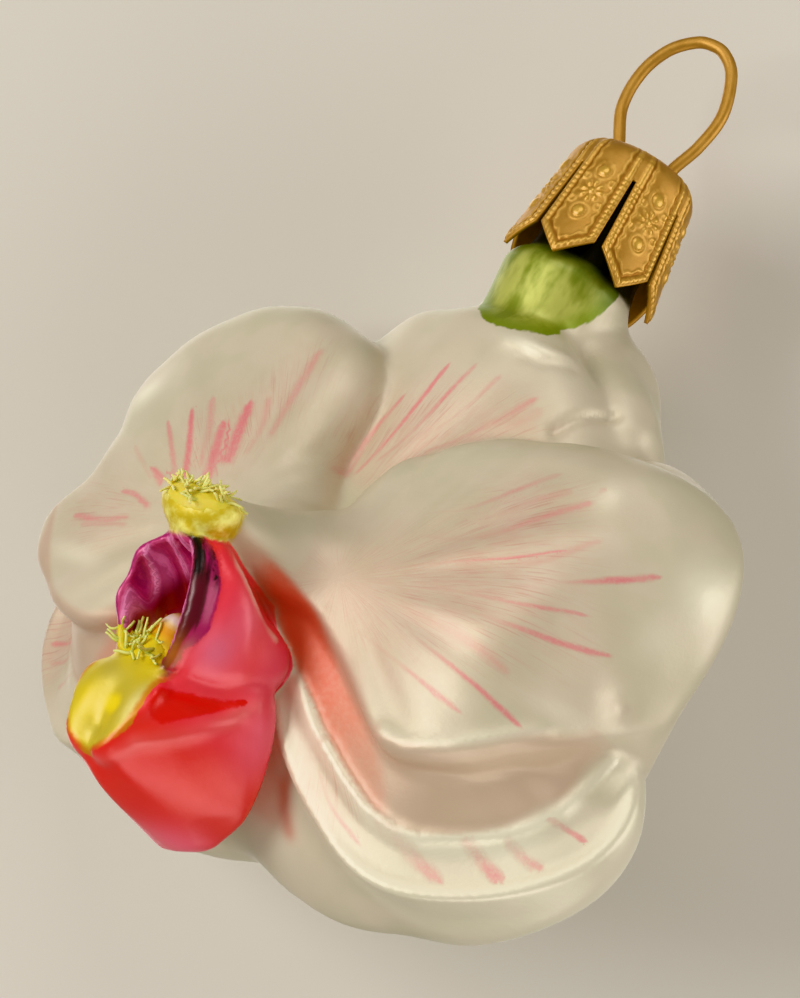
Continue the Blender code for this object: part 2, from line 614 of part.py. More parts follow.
def make_wire():
    """One bent wire: leg, loop and leg."""
    left = [(-u, z) for u, z in LEG[::-1]]
    track = smooth_open(left + LOOP + LEG, 3)
    turn = math.radians(LOOP_TURN)
    path = [np.array([u * math.cos(turn), u * math.sin(turn), z]) for u, z in track]
    normal = np.array([-math.sin(turn), math.cos(turn), 0.0])
    return new_object("wire_hanger", *tube(path, normal, WIRE_RADIUS, WIRE_SIDES))


def make_tuft(name, low, high, centre, radii, fibres, length, lean, seed):
    """A thin glued pad that follows the glass, with short fibres growing out of it."""
    axes = grid_axes(low, high, PAD_CELL)
    v, x, y, z = sample_flower(axes)
    v = evened(v, PAD_CELL)
    patch = ellipsoid(x, y, z, centre, radii)
    pad = np.maximum(np.maximum(v - PAD_GAP - PAD_THICKNESS, PAD_GAP - v), patch)
    points, quads = surface_of(pad, axes, False)
    bm = bmesh.new()
    corners = [bm.verts.new(p) for p in points]
    for q in quads:
        bm.faces.new([corners[i] for i in q])
    drop_small_shells(bm)
    bm.normal_update()
    lean = np.array(lean) / np.linalg.norm(lean)
    tops = [f for f in bm.faces if np.dot(f.normal, lean) > 0.55]
    rng = np.random.default_rng(seed)
    used = set()
    for face in [tops[i] for i in rng.permutation(len(tops))]:
        if len(used) >= fibres:
            break
        if any(near.index in used for edge in face.edges for near in edge.link_faces):
            continue
        used.add(face.index)
    for face in [f for f in bm.faces if f.index in used]:
        middle = np.array(face.calc_center_median())
        way = 0.55 * np.array(face.normal) + lean + rng.normal(0, 0.42, 3)
        way = way / np.linalg.norm(way)
        side = np.cross(way, (0.3, 0.9, 0.2))
        side = side / np.linalg.norm(side)
        other = np.cross(way, side)
        reach = length * rng.uniform(0.65, 1.0)
        ring = list(face.verts)
        start = np.array([np.array(vert.co) - middle for vert in ring])
        first = math.atan2(start[0] @ other, start[0] @ side)
        second = math.atan2(start[1] @ other, start[1] @ side)
        turn = 1 if (second - first) % (2 * math.pi) < math.pi else -1
        bmesh.ops.delete(bm, geom=[face], context="FACES_ONLY")
        for level, thick in ((0.18, 0.5), (0.62, 0.5), (1.0, 0.3)):
            bend = 0.25 * length * level ** 2 * (side * math.sin(6.0 * reach) + other * math.cos(9.0 * reach))
            spot = middle + way * reach * level + bend
            upper = []
            for k in range(4):
                a = first + turn * 0.5 * math.pi * k
                upper.append(bm.verts.new(spot + FIBRE_THICKNESS * thick * (side * math.cos(a) + other * math.sin(a))))
            for k in range(4):
                bm.faces.new((ring[k], ring[(k + 1) % 4], upper[(k + 1) % 4], upper[k]))
            ring = upper
        bm.faces.new(ring)
    bm.normal_update()
    bmesh.ops.recalc_face_normals(bm, faces=bm.faces[:])
    for vert in bm.verts:
        vert.co = place([vert.co])[0]
    mesh = bpy.data.meshes.new(name)
    bm.to_mesh(mesh)
    bm.free()
    thing = bpy.data.objects.new(name, mesh)
    bpy.context.scene.collection.objects.link(thing)
    return thing


def paint(thing, name, colour, roughness, metallic=0.0, smooth=True):
    material = bpy.data.materials.new(name)
    material.use_nodes = True
    shader = material.node_tree.nodes["Principled BSDF"]
    shader.inputs["Base Color"].default_value = (*colour, 1.0)
    shader.inputs["Roughness"].default_value = roughness
    shader.inputs["Metallic"].default_value = metallic
    material.diffuse_color = (*colour, 1.0)
    thing.data.materials.clear()
    thing.data.materials.append(material)
    for face in thing.data.polygons:
        face.use_smooth = smooth


clear_scene()
glass = make_glass()
cap = make_cap()
wire = make_wire()
column_fibres = make_tuft("column_fibres", (-6, -35, -18), (7, -20, -6), (0.2, -28.4, -11.8), (3.4, 3.0, 2.2),
                          COLUMN_FIBRES, 2.2, (0.1, -0.35, 1.0), FIBRE_SEED)
lip_fibres = make_tuft("lip_fibres", (-7, -34, -32), (7, -17, -18), (-1.1, -25.2, -25.3), (3.4, 4.4, 1.9),
                       LIP_FIBRES, 2.4, (-0.15, -1.0, 0.2), FIBRE_SEED + 1)
paint(glass, "lacquered_glass", (0.80, 0.76, 0.66), 0.30)
paint(cap, "gilt_cap", (0.70, 0.48, 0.18), 0.38, 1.0, False)
paint(wire, "gilt_wire", (0.72, 0.50, 0.20), 0.30, 1.0)
paint(column_fibres, "pale_fibre", (0.72, 0.74, 0.25), 0.60, 0.0, False)
paint(lip_fibres, "green_fibre", (0.66, 0.74, 0.25), 0.60, 0.0, False)
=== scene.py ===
# Looks of the hanging glass ornament in the shape of a moth orchid flower.
#
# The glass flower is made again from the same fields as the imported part, on a finer grid and with
# fine relief, and is painted by masks that are worked out for every corner of its mesh. The cap
# gets its stamped pattern, the wire its round section, and each tuft its thin fibres.
#
# Shapes are worked out in millimetres in the flower's own frame and placed in metres.
# Flower frame: the neck's axis is x = 0, y = 0, the mould's parting plane is y = 0, the flower
# faces -y and z runs up through the neck. The part's origin is the inside of the top of the
# wire loop, which lies LOOP_INSIDE_TOP above the flower frame's zero.
# Outlines are (x, z) seen from the front. Heights are (x, z, y): how far forward (minus y) or
# back (plus y) a surface lies at that place of the front view.

import math
from itertools import product

import bmesh
import bpy
import numpy as np
from mathutils import Matrix


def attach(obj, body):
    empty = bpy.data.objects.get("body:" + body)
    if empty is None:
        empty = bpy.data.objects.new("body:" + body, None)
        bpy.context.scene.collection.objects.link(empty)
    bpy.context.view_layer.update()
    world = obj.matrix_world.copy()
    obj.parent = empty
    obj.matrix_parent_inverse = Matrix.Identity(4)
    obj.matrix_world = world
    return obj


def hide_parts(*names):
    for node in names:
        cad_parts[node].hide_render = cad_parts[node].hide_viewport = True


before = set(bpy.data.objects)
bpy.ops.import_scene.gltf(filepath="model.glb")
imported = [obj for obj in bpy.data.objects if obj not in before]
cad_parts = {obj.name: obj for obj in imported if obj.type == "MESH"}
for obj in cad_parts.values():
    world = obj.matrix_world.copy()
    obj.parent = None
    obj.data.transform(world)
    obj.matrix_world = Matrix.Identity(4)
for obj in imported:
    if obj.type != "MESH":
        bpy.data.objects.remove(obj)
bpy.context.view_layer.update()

MM = 0.001
FAR = 1e9
CORNERS = list(product((0, 1), repeat=3))
LOOP_INSIDE_TOP = 53.95

# Glass: the grid that its field is sampled on, the most that a corner may move to the exact surface
GLASS_LOW = (-37.3, -32.3, -40.6)
GLASS_HIGH = (37.3, 18.3, 41.3)
FINE_CELL = 0.415
MOST_SETTLING = 0.2

# Neck and its painted front sleeve
NECK_TOP = 39.35
NECK_BASE = 18.8
NECK_RADIUS_TOP = 5.3
NECK_RADIUS_BASE = 6.1
SLEEVE_TOP = 28.0
SLEEVE_BASE = 17.6
SLEEVE_SLANT = 0.22
SLEEVE_RADIUS = 5.75
SLEEVE_FORWARD = 0.9

# Cap: radii, heights (profile and tabs), stamping, mesh; corners closer than WELD are joined.
# END_SLOPE turns a height above a tab's slanted end into the distance from it.
CAP_THICKNESS = 0.4
CAP_TABS = 7
CAP_FIRST_TAB = -74.0
CAP_PROFILE = [
    (0, 40.6), (1.8, 40.6), (3.55, 40.6), (4.9, 40.3), (5.8, 39.6), (6.3, 38.6), (6.52, 36.8),
]
TAB_TIP_RADIUS = 7.95
TAB_TIP = 26.8
TAB_CORNER = 29.4
TAB_GAP_TOP = 0.18
TAB_GAP_BOTTOM = 0.45
STAMP_DOMES = (36.35, 31.6)
STAMP_ROSETTE = 34.0
END_SLOPE = 0.8
TAB_COLUMNS = 48
TAB_ROWS = 84
WELD = 0.001

# Wire
WIRE_RADIUS = 0.6
WIRE_SIDES = 16
LOOP_TURN = 20.0
LOOP = [
    (-2.95, 41), (-4.8, 45.2), (-4.85, 49.2), (-3.6, 52.3), (-1.6, 54.1), (0, 54.5), (1.6, 54.1),
    (3.3, 52.3), (4.5, 48.3), (4, 44.5), (2.75, 41),
]
LEG = [(2.85, 38.0), (3.0, 34.0), (3.15, 30.0), (3.3, 26.0), (4.4, 20.0), (6.2, 14.0), (7.4, 10.0)]

# Tufts: mesh, fibres, and for each the box of its grid, the glued patch, number, length and lean of fibres
TUFT_CELL = 0.3
GLUE_THICKNESS = 0.12
FIBRE_RISE = 0.38
FIBRE_SIDES = 6
FIBRE_RINGS = 8
COLUMN_TUFT = dict(low=(-6, -35, -18), high=(7, -20, -6), centre=(-0.1, -28.4, -12.0), radii=(3.5, 3.0, 2.2),
                   fibres=56, length=1.9, lean=(0.1, -0.6, 0.8), seed=4)
LIP_TUFT = dict(low=(-7, -34, -32), high=(7, -17, -18), centre=(-1.3, -25.2, -25.2), radii=(3.2, 4.0, 1.4),
                fibres=38, length=2.4, lean=(-0.15, -0.8, 0.6), seed=5)

# Camera: turned and tilted as in the photograph, in degrees and millimetres
CAMERA_AZIMUTH = 42.0
CAMERA_ELEVATION = -12.0
CAMERA_ROLL = 30.0
CAMERA_DISTANCE = 320.0
CAMERA_TARGET = (0.0, -6.15, 0.0)
CAMERA_LENS = 127.0

# Paper (half its width in metres), world, and lights: place from the camera's target to the right,
# upwards and towards the camera, size, power, colour
PAPER_COLOUR = (0.665, 0.628, 0.572)
PAPER_HALF_SIZE = 0.45
WORLD_COLOUR = (0.80, 0.76, 0.68)
WORLD_STRENGTH = 0.46
LIGHTS = [
    ("key", (-420, 160, 380), (300, 300), 2.3, (1.0, 0.98, 0.94)),
    ("top", (60, 420, 300), (300, 200), 0.5, (1.0, 0.98, 0.95)),
    ("low", (60, -400, 100), (360, 260), 0.60, (1.0, 0.98, 0.95)),
    ("side", (430, -60, 110), (300, 300), 0.78, (1.0, 0.98, 0.95)),
    ("behind", (-100, 100, -500), (600, 600), 1.4, (1.0, 0.98, 0.95)),
]

# The flower's lobes: outlines and heights
PETAL_RIGHT = [
    (0.4, -13.4), (-0.6, -9), (-0.6, -3), (0.9, 2), (3.9, 4.8), (7.6, 6.9), (12, 8.5), (17, 9.6),
    (23, 10.6), (28.5, 10.4), (32.8, 7.8), (35.2, 2.8), (35.7, -3), (34.6, -8), (32.9, -12), (31.2, -15.4),
    (28.6, -18.8), (25.8, -21.6), (22.4, -23.2), (19, -23.2), (15.2, -20.8), (10.4, -17.4), (5.6, -14.8),
]
PETAL_RIGHT_HEIGHTS = [
    (0, -10, -20), (0, -5, -14.2), (1, -1, -12.8), (4, 5, -11.5), (12, 8.5, -11.5), (20, 10, -10.5),
    (27, 9, -8.5), (31, 7, -5.5), (34, 2, -4.5), (34, -3, -4.5), (32, -10, -5), (30.5, -15, -8.5),
    (28, -1, -11.5), (27, -8, -13), (26, -14, -13.6), (26, -20.5, -13), (22.4, -23.2, -14),
    (18.6, -23.8, -14.5), (11, -20, -15.5), (4.5, -15, -18), (15, -5, -15.3), (22, -6, -15), (6, -8, -16.3),
]
# The left petal is given mirrored, as if it stood on the right
PETAL_LEFT = [
    (0.4, -13.4), (-0.6, -9), (1.4, -5), (4.2, -1.2), (5.4, 3), (5.8, 7.6), (8.8, 11.8), (15, 14),
    (22, 13.6), (27.3, 11), (30.7, 7), (33.3, 2.4), (32.6, -2), (30.4, -5.8), (31.3, -9.8), (33.2, -15),
    (31, -18.8), (26.6, -21.6), (21.4, -23.4), (16.5, -22.8), (10, -19.2), (5.2, -16.2),
]
PETAL_LEFT_HEIGHTS = [
    (0, -10, -20), (0, -6, -15), (3, -1, -13.5), (5, 5, -12.5), (9, 12, -12), (20, 14, -12), (31, 8, -11),
    (34, 0, -11), (33, -16, -12), (21, -23, -14.5), (11, -20, -15.5), (4.5, -15, -18), (15, -5, -16),
    (24, -5, -15.5), (6, -8, -16.3),
]
DORSAL = [
    (-14, -8), (-16, -2), (-16.8, 6), (-16.8, 12), (-15.6, 15.6), (-12.5, 18.4), (-7, 20), (0, 20.8),
    (5, 20.6), (9.5, 18.4), (12.6, 15.8), (15.4, 12.6), (17.6, 9), (17, -2), (14, -8),
]
DORSAL_HEIGHTS = [
    (0, -8, -10), (0, 2, -9), (0, 10, -9), (0, 17, -8.5), (8, 12, -8), (10, 18, -6), (16, 12, -4.5),
    (7, 2, -8.5), (14, 2, -8), (14, 17, -4),
]
SEPAL = [
    (0.6, -13), (4, -17.2), (8, -20.8), (11.9, -24.2), (15.4, -26.5), (18.6, -28), (21.6, -28.2),
    (25, -26.6), (28.4, -23.6), (30.6, -19.2), (31.6, -13.8), (33.2, -14.2), (35, -18), (34.8, -22.6),
    (32.6, -26.6), (28.4, -30.3), (22.8, -33), (18, -33), (13, -30.6), (9, -27.6), (5.6, -23.4), (2.4, -18),
]
SEPAL_HEIGHTS = [
    (1, -14, -16.5), (4.4, -17.6, -15.3), (10.8, -23.5, -13.3), (17.2, -27.2, -10.3), (9.3, -27.5, -12),
    (12.9, -30.2, -10.3), (18, -33, -8.5), (25.7, -31.4, -5.5),
]
SEPAL_RIGHT_HEIGHTS = SEPAL_HEIGHTS + [
    (22.5, -27.4, -7.5), (27, -24.1, -5), (30, -19.7, -3), (31, -14, -0.5), (32.3, -26.2, -2.5),
    (34.5, -20, -0.3),
]
SEPAL_LEFT_HEIGHTS = SEPAL_HEIGHTS + [
    (22.5, -27.4, -8.5), (27, -24.1, -6), (30, -19.7, -5), (31, -14, -5), (32.3, -26.2, -4.5),
    (34.5, -20, -4.5),
]
SEPAL_LIP = 1.0
SEPAL_LIP_WIDTH = 2.0
SEPAL_LEFT_SQUEEZE = 1.05
BACK_HALF = [
    (0, 23), (8, 21.6), (13.4, 19.4), (16.2, 16), (17.4, 13), (22, 12.8), (28.2, 10.8), (32, 6), (33, 0.4),
    (32.6, -5), (31.6, -10), (33.2, -15), (34.8, -19.6), (33.8, -24.6), (28.4, -29.8), (21, -33.6),
    (13, -36.2), (6, -35.8), (0, -34.4),
]
BACK = BACK_HALF + [(-x, z) for x, z in BACK_HALF[-2:0:-1]]
BACK_HEIGHTS = [
    (0, 20, 8.5), (0, 10, 13), (0, -8, 15.5), (0, -24, 13.5), (0, -34, 8), (14, 18, 7), (17, 8, 11.5),
    (28, 8, 3.5), (34, 2, 1.5), (34, -8, 2), (20, -8, 13), (35, -18, 4.5), (22, -22, 11.5), (28, -29, 6.5),
    (10, -35, 8),
]
FLOOR_HEIGHTS = [
    (0, -10, -13), (0, 10, -5), (10, 10, -4), (18, 10, -4), (30, 5, -5), (33, -10, -4), (0, -30, -7),
    (6, -30, -7.5), (20, -10, -10), (0, -36, -3), (12, -36, -3), (25, -32, -1), (34, -24, 2),
    (6.5, -16.6, -15.6), (10.5, -19.8, -13.8), (14.5, -23, -12.2), (17, -25.5, -10.8), (19.4, -24, -11.2),
    (22.6, -24.4, -10), (26, -23, -8.2), (28.8, -20.4, -6), (31.2, -16.6, -3.6), (18.6, -27.6, -9.4),
    (21.6, -27.8, -8), (25, -26.2, -6.4), (28.2, -23.2, -4.8), (30.6, -18.8, -3),
]
LEFT_LOBE_SQUEEZE = 1.05
TOE_CUT = 31.1
LIP_HALF = [
    (0, -20), (5.4, -21.4), (8, -24), (8.4, -28), (7.5, -32.2), (5.5, -35.6), (3.4, -38), (0, -38.8),
]
LIP = LIP_HALF + [(-x, z) for x, z in LIP_HALF[-2:0:-1]]
LIP_HEIGHTS = [
    (0, -19.6, -20), (0, -21.4, -23.8), (0, -26, -25), (0, -30, -25.4), (0, -33, -24.9), (0, -35.8, -23.6),
    (0, -37.7, -17.5), (0, -38.4, -9), (3.2, -21.4, -20), (4.3, -24.5, -21.2), (7.6, -24.5, -18.6),
    (4.4, -28, -24.6), (6.4, -28.5, -21.6), (8.2, -28, -16.5), (5, -32, -22.8), (7, -32.5, -15),
    (3, -35.6, -22), (3.5, -37, -13), (5, -37, -8),
]

# Solids that make the surface, and those of the lip
SHOWN_SOLIDS = ("base", "right", "left", "shoulder", "dorsal", "sepal", "neck", "sleeve", "boss",
                "side_lobes", "middle_lobe", "root", "column")
LIP_SOLIDS = ("side_lobes", "middle_lobe", "root")

# Paint and ribs end this far behind the parting plane, over this width
FRONT_EDGE = 0.8
FRONT_FADE = 2.0

# Fine relief of the glass and bumps of the petals: places (x, y, z), height (minus for a groove) and width.
# Lines of the lip are the same on both sides.
LIP_LINES = [
    ([(4.6, -24.0, -27.6), (7.6, -18.3, -25.4)], -0.55, 1.1),
    ([(1.5, -24.3, -35.4), (3.9, -24.3, -32.9), (5.5, -22.0, -30.5), (7.3, -19.3, -27.4), (7.9, -17.6, -24.9)],
     0.35, 0.9),
    ([(3.9, -25.0, -26.3), (4.2, -25.0, -28.0), (4.2, -25.3, -30.2), (3.6, -25.7, -31.9), (2.4, -25.4, -34.2),
      (0.0, -24.6, -35.8)], 0.35, 0.55),
    ([(5.9, -25.0, -16.8), (6.9, -22.5, -19.5), (6.8, -20.5, -23.0)], 0.25, 1.2),
]
NECK_LINES = [
    ([(5.9, -2.9, 21.4), (7.6, -2.4, 20.0), (9.8, -2.8, 18.4), (12.6, -2.6, 16.2), (15.8, -2.1, 13.1)],
     -0.30, 1.5),
    ([(12.3, -6.6, 10.6), (12.9, -5.4, 12.6), (13.6, -3.6, 14.2), (14.0, -2.4, 15.2)], -0.50, 0.6),
    ([(3.6, -8.3, 17.0), (6.8, -7.3, 17.4), (8.9, -5.8, 18.0)], 0.30, 0.9),
    ([(5.6, -7.9, 16.2), (7.6, -7.2, 16.3), (9.5, -5.3, 17.2)], -0.25, 0.6),
]
PETAL_BUMPS = [
    ((33.8, -4.2, 0.9), 0.4, 2.6), ((33.1, -4.1, -6.2), 0.3, 2.2), ((25.1, -11.1, 5.1), 0.35, 2),
    ((30.7, -7.2, -11), 0.35, 1.8), ((32.3, -4.2, -10.5), -0.5, 1.3), ((29.5, -10, -5.5), -0.25, 3),
    ((22.4, -13.4, -21.6), 0.3, 2.4), ((-28.2, -13.6, -1.5), 0.35, 3), ((-23.6, -14.4, -17.4), 0.15, 2.6),
    ((-30.5, -11.5, -9.5), -0.3, 3),
]
RIB_HEIGHT = 0.10
FOLD_HEIGHT = 0.26

# Brush strokes: places (x, z) from the inner end outwards, half width there and at the outer end, strength
STROKES = {
    "dorsal": [
        ([(-4.4, -1.2), (-4.9, 3.7), (-3.4, 8.9)], 0.75, 0.35, 0.75),
        ([(-3.8, -0.3), (-2.3, 4.4), (-1.2, 9.3), (-0.4, 13.2)], 0.30, 0.42, 0.85),
        ([(-2.3, 1.7), (-0.6, 4.8), (1.1, 9.7), (2.4, 13.9)], 0.22, 0.45, 0.75),
        ([(3.7, 9.0), (5.2, 13.6)], 0.20, 0.45, 0.40),
        ([(1.8, 4.0), (5.0, 6.5), (7.9, 9.8), (9.5, 13.0)], 0.20, 0.75, 0.55),
        ([(3.5, 5.1), (8.2, 8.4), (10.5, 12.1)], 0.40, 1.10, 0.30),
    ],
    "left": [
        ([(-17.2, -8.9), (-19.8, -7.8)], 0.70, 0.45, 0.85),
        ([(-17.5, -11.5), (-20.2, -10.7), (-22.6, -10.8)], 0.50, 0.30, 0.75),
        ([(-16.0, -8.4), (-18.5, -5.7), (-21.6, -2.9)], 0.50, 0.30, 0.65),
        ([(-15.2, -7.9), (-17.2, -4.2), (-19.6, -0.9)], 0.60, 0.35, 0.95),
        ([(-12.8, -7.2), (-13.9, -4.2), (-15.4, -1.0)], 0.85, 0.60, 0.90),
        ([(-14.1, -6.5), (-16.1, -2.6), (-18.7, 0.9)], 0.35, 0.60, 0.50),
        ([(-12.0, -5.2), (-13.1, -1.5), (-14.3, 1.8)], 0.90, 0.70, 0.95),
        ([(-10.8, -3.6), (-11.5, -0.2), (-13.0, 2.9)], 0.30, 0.50, 0.40),
        ([(-9.9, -1.2), (-10.9, 3.2), (-11.7, 7.9), (-11.7, 9.5)], 0.50, 0.80, 0.50),
        ([(-19.4, -12.8), (-23.3, -14.0), (-27.9, -14.2)], 0.40, 0.55, 0.60),
        ([(-19.2, -13.6), (-26.0, -14.9)], 0.30, 0.45, 0.40),
        ([(-18.9, -8.9), (-23.6, -6.3)], 0.30, 0.40, 0.35),
    ],
    "right": [
        ([(10.5, -3.0), (15.3, -0.8), (20.6, 5.3)], 0.20, 0.60, 0.50),
        ([(12.0, -5.2), (18.5, -3.2), (24.8, 4.0)], 0.25, 0.90, 0.50),
        ([(16.9, -1.8), (22.6, 4.1)], 0.30, 0.80, 0.40),
        ([(10.9, -9.3), (21.7, -4.3), (26.1, -1.1)], 0.18, 0.25, 0.65),
        ([(19.0, -6.2), (24.0, -3.8), (27.4, 1.0)], 0.25, 0.60, 0.38),
        ([(24.5, -5.2), (26.5, -4.2), (29.2, -1.7), (31.6, 0.9)], 0.22, 0.50, 0.95),
        ([(14.3, -9.6), (20.0, -8.6), (25.4, -7.4), (29.1, -5.2)], 0.22, 0.36, 0.60),
        ([(20.5, -9.8), (23.1, -9.9), (27.7, -8.9), (31.0, -7.1)], 0.30, 0.48, 0.80),
        ([(14.5, -11.0), (16.5, -11.9), (23.5, -12.4), (26.8, -13.2)], 0.35, 0.95, 0.40),
        ([(16.0, -12.8), (18.6, -13.9), (24.9, -15.4), (29.2, -16.7)], 0.22, 0.50, 0.85),
        ([(12.3, -15.1), (20.4, -17.0), (25.3, -18.1)], 0.18, 0.50, 0.55),
        ([(24.5, 4.4), (24.6, 5.6)], 0.35, 0.45, 0.55),
    ],
    "left_sepal": [
        ([(-26.6, -19.4), (-32.6, -20.4)], 0.40, 0.45, 0.60),
        ([(-27.1, -23.6), (-31.3, -24.6)], 0.35, 0.45, 0.65),
        ([(-25.8, -25.3), (-29.7, -26.4)], 0.30, 0.40, 0.45),
        ([(-22.9, -27.1), (-26.3, -28.4)], 0.30, 0.40, 0.45),
    ],
    "right_sepal": [
        ([(19.0, -28.0), (22.3, -29.6), (25.4, -30.5)], 1.10, 0.70, 0.55),
        ([(25.6, -26.3), (27.3, -27.3), (29.4, -28.1)], 0.85, 0.80, 0.75),
        ([(28.2, -24.8), (29.7, -25.2), (31.8, -25.5)], 0.65, 0.65, 0.65),
        ([(30.3, -21.4), (31.6, -21.4), (33.2, -21.5)], 0.40, 0.35, 0.75),
        ([(11.9, -26.6), (14.3, -29.0), (18.2, -30.9)], 0.18, 0.30, 0.45),
    ],
}

# Share of a stroke's strength that is left at its inner end
STROKE_ROOTS = {"dorsal": 0.6, "left": 0.85, "right": 0.22, "left_sepal": 0.7, "right_sepal": 0.5}

# Half width of the thinnest stroke, width of the guard around a stroke, share of a stroke that its tip
# takes, place across that means no stroke, and how wide each petal's strokes are painted
LEAST_STROKE = 0.09
GUARD_WIDTH = 0.45
TIP_SHARE = 0.18
NO_STROKE = 4.0
STROKE_WIDTHS = {"dorsal": 0.8, "left": 0.9, "right": 0.72, "left_sepal": 0.9, "right_sepal": 0.9}

# Where each petal's strokes fan out from, (x, z)
FANS = {"dorsal": (-4.0, -9.0), "left": (-9.2, -10.2), "right": (8.0, -11.5)}

# Soft pink clouds under the strokes: petal, place (x, z), radii, strength
BLUSHES = [
    ("dorsal", (1, 4), (7.5, 6.5), 0.42), ("dorsal", (8.5, 9.5), (4.5, 3.5), 0.25),
    ("left", (-14.5, -4), (5, 6), 0.28), ("left", (-24, -13.5), (8, 4), 0.25),
    ("left", (-12, 5), (3, 7), 0.20), ("right", (20, -8), (9, 7), 0.38),
    ("right", (21, 0.5), (5.5, 5), 0.28), ("right", (9, -12), (6, 6), 0.25),
    ("left_sepal", (-30, -23), (5, 6), 0.40), ("right_sepal", (14, -28), (5, 4), 0.22),
]

# The run between the petals and the sepals, (x, z) seen from the front
RECESS = [
    (1, -12), (5.6, -14.2), (10.4, -16.8), (15.2, -20.2), (19, -22.6), (25.8, -21), (31.2, -14.8),
    (31.8, -13.8), (30.4, -19.2), (28.2, -23.4), (25, -26.4), (21.6, -28), (18.6, -27.8), (15.4, -26.3),
    (11.9, -24), (8, -20.6), (4, -17),
]
CORAL = [
    (3.4, -16.2), (3.8, -13.4), (6.4, -14.2), (8.6, -16.2), (11.8, -19.2), (15.6, -22), (18, -24.6),
    (19.2, -27.6), (17.8, -28), (13, -24.8), (8.4, -20.9), (4.2, -17.3),
]
PETAL_EDGE = [
    (19.4, -15, -22.4), (22, -14.6, -22.6), (25, -14, -21.4), (28, -12.2, -18.8), (30.6, -9.6, -15.8),
]
SEPAL_RIM = [
    (12.4, -12.2, -24.6), (15, -11.1, -26.4), (17.6, -9.9, -27.8), (20.4, -8.6, -28.3), (22.5, -7.6, -27.9),
    (24.5, -6.6, -26.7), (26.5, -5.6, -25.5), (28, -4.6, -24.2), (29.4, -3.9, -22.7), (30.7, -2.9, -20.4),
    (31.7, -2.4, -17.1), (32.3, -2, -14.5),
]
SEAM = [
    (4, -24.9, -14.6), (4.9, -24.9, -15.8), (5.9, -24, -16.7), (6.6, -22.8, -17.5), (7.1, -21, -18.2),
    (7.3, -19, -19),
]

# Heights and widths of the edges that the relief raises
RAISED_EDGES = [(PETAL_EDGE, 0.45, 0.9), (SEPAL_RIM, 0.45, 0.75), (SEAM, 0.30, 0.45)]

# Red wedge on the lip, coral stroke behind it, and painted highlights on the pearl, some of them lightening
# shaded spots: place, radii, strength
RED_WEDGE = [(4.6, -24.1, -29.2), (6.2, -21.8, -27.3), (7.5, -18.6, -25.2)]
HOLLOW = [
    (8.6, -10.6, -27.6), (7.3, -8.6, -28.9), (7.5, -7.3, -30.5), (8.3, -6.2, -31.8),
]
PAINTED_HIGHLIGHTS = [
    ((29.5, -5, -25.5), (3.5, 3, 3), 0.5), ((33.6, -4.2, 1.6), (2, 2.6, 3), 0.9),
    ((25.3, -11, 5.2), (1.6, 2.5, 1.2), 0.45), ((32.7, -5.6, -4.1), (1.5, 2.5, 2.2), 0.45),
    ((5.6, -8, 17.2), (3, 2, 0.8), 0.8), ((8.4, -5, -25.2), (2.4, 8, 2.2), 0.5),
    ((30, -9, -13.6), (2.4, 2.5, 1), 0.5), ((-27.4, -14.1, -0.6), (1.4, 2.5, 2), 0.9),
    ((-24.6, -14.2, -17.6), (3.6, 2.5, 0.9), 0.8), ((6.3, -6.5, -31.2), (3.5, 4, 3.5), 1.1),
]

# Soft patches on the lip: mask, whether it is on both sides, place, radii, strength
PATCHES = [
    ("pale_flank", True, (6.2, -23.6, -23.0), (1.6, 2.0, 2.4), 1.0),
    ("pale_flank", True, (6.7, -22.5, -19.0), (2.0, 2.6, 2.0), 0.5),
    # pink edges lighten flanks that turn away from the light: pink paint with painted light
    ("pink_edge_painted_light", True, (8.2, -14.8, -25.8), (1.8, 2.6, 4.2), 1.0),
    ("pink_edge_painted_light", True, (7.6, -16.8, -21.0), (1.5, 3.0, 3.0), 1.0),
    ("pink_edge_painted_light", False, (2.0, -11.0, -37.8), (6.0, 4.0, 1.6), 1.0),
    ("flank_end", False, (3.2, -17.6, -16.0), (1.4, 2.6, 1.0), 1.0),
    ("amber", False, (4.0, -25.2, -24.8), (1.2, 1.6, 1.9), 1.0),
    # pale band at the boss's border: painted highlight
    ("pearly_painted_highlight", False, (3.3, -25.0, -30.4), (0.8, 1.5, 2.0), 1.0),
    ("olive", False, (-0.6, -25.0, -33.8), (2.0, 2.0, 1.5), 1.0),
    ("olive", False, (-1.5, -26.0, -28.5), (2.0, 2.0, 1.2), 1.0),
    ("spot", False, (0.6, -26.2, -31.0), (1.5, 2.0, 1.3), 1.0),
]

# The yellow boss of the lip, (x, z) seen from the front
CALLUS_HALF = [
    (0, -20.8), (2.6, -21.2), (3.6, -23), (3.9, -25.2), (3.7, -27.6), (3.9, -30), (3.8, -32), (2.7, -34.2),
    (1.2, -35.4), (0, -35.7),
]
CALLUS = CALLUS_HALF + [(-x, z) for x, z in CALLUS_HALF[-2:0:-1]]


# Field helpers: a field is negative inside the solid and roughly measures millimetres


def smooth(points, per, closed=False):
    """Smooth curve through the given points."""
    p = np.asarray(points, float)
    if closed:
        p = np.vstack([p[-1:], p, p[:2]])
    else:
        p = np.vstack([2 * p[0] - p[1], p, 2 * p[-1] - p[-2]])
    t = (np.arange(per) / per)[:, None]
    out = []
    for a, b, c, d in zip(p, p[1:], p[2:], p[3:]):
        cubic = 3 * b - a - 3 * c + d
        out.append(0.5 * (2 * b + (c - a) * t + (2 * a - 5 * b + 4 * c - d) * t * t + cubic * t ** 3))
    return np.vstack(out if closed else out + [p[-2]])


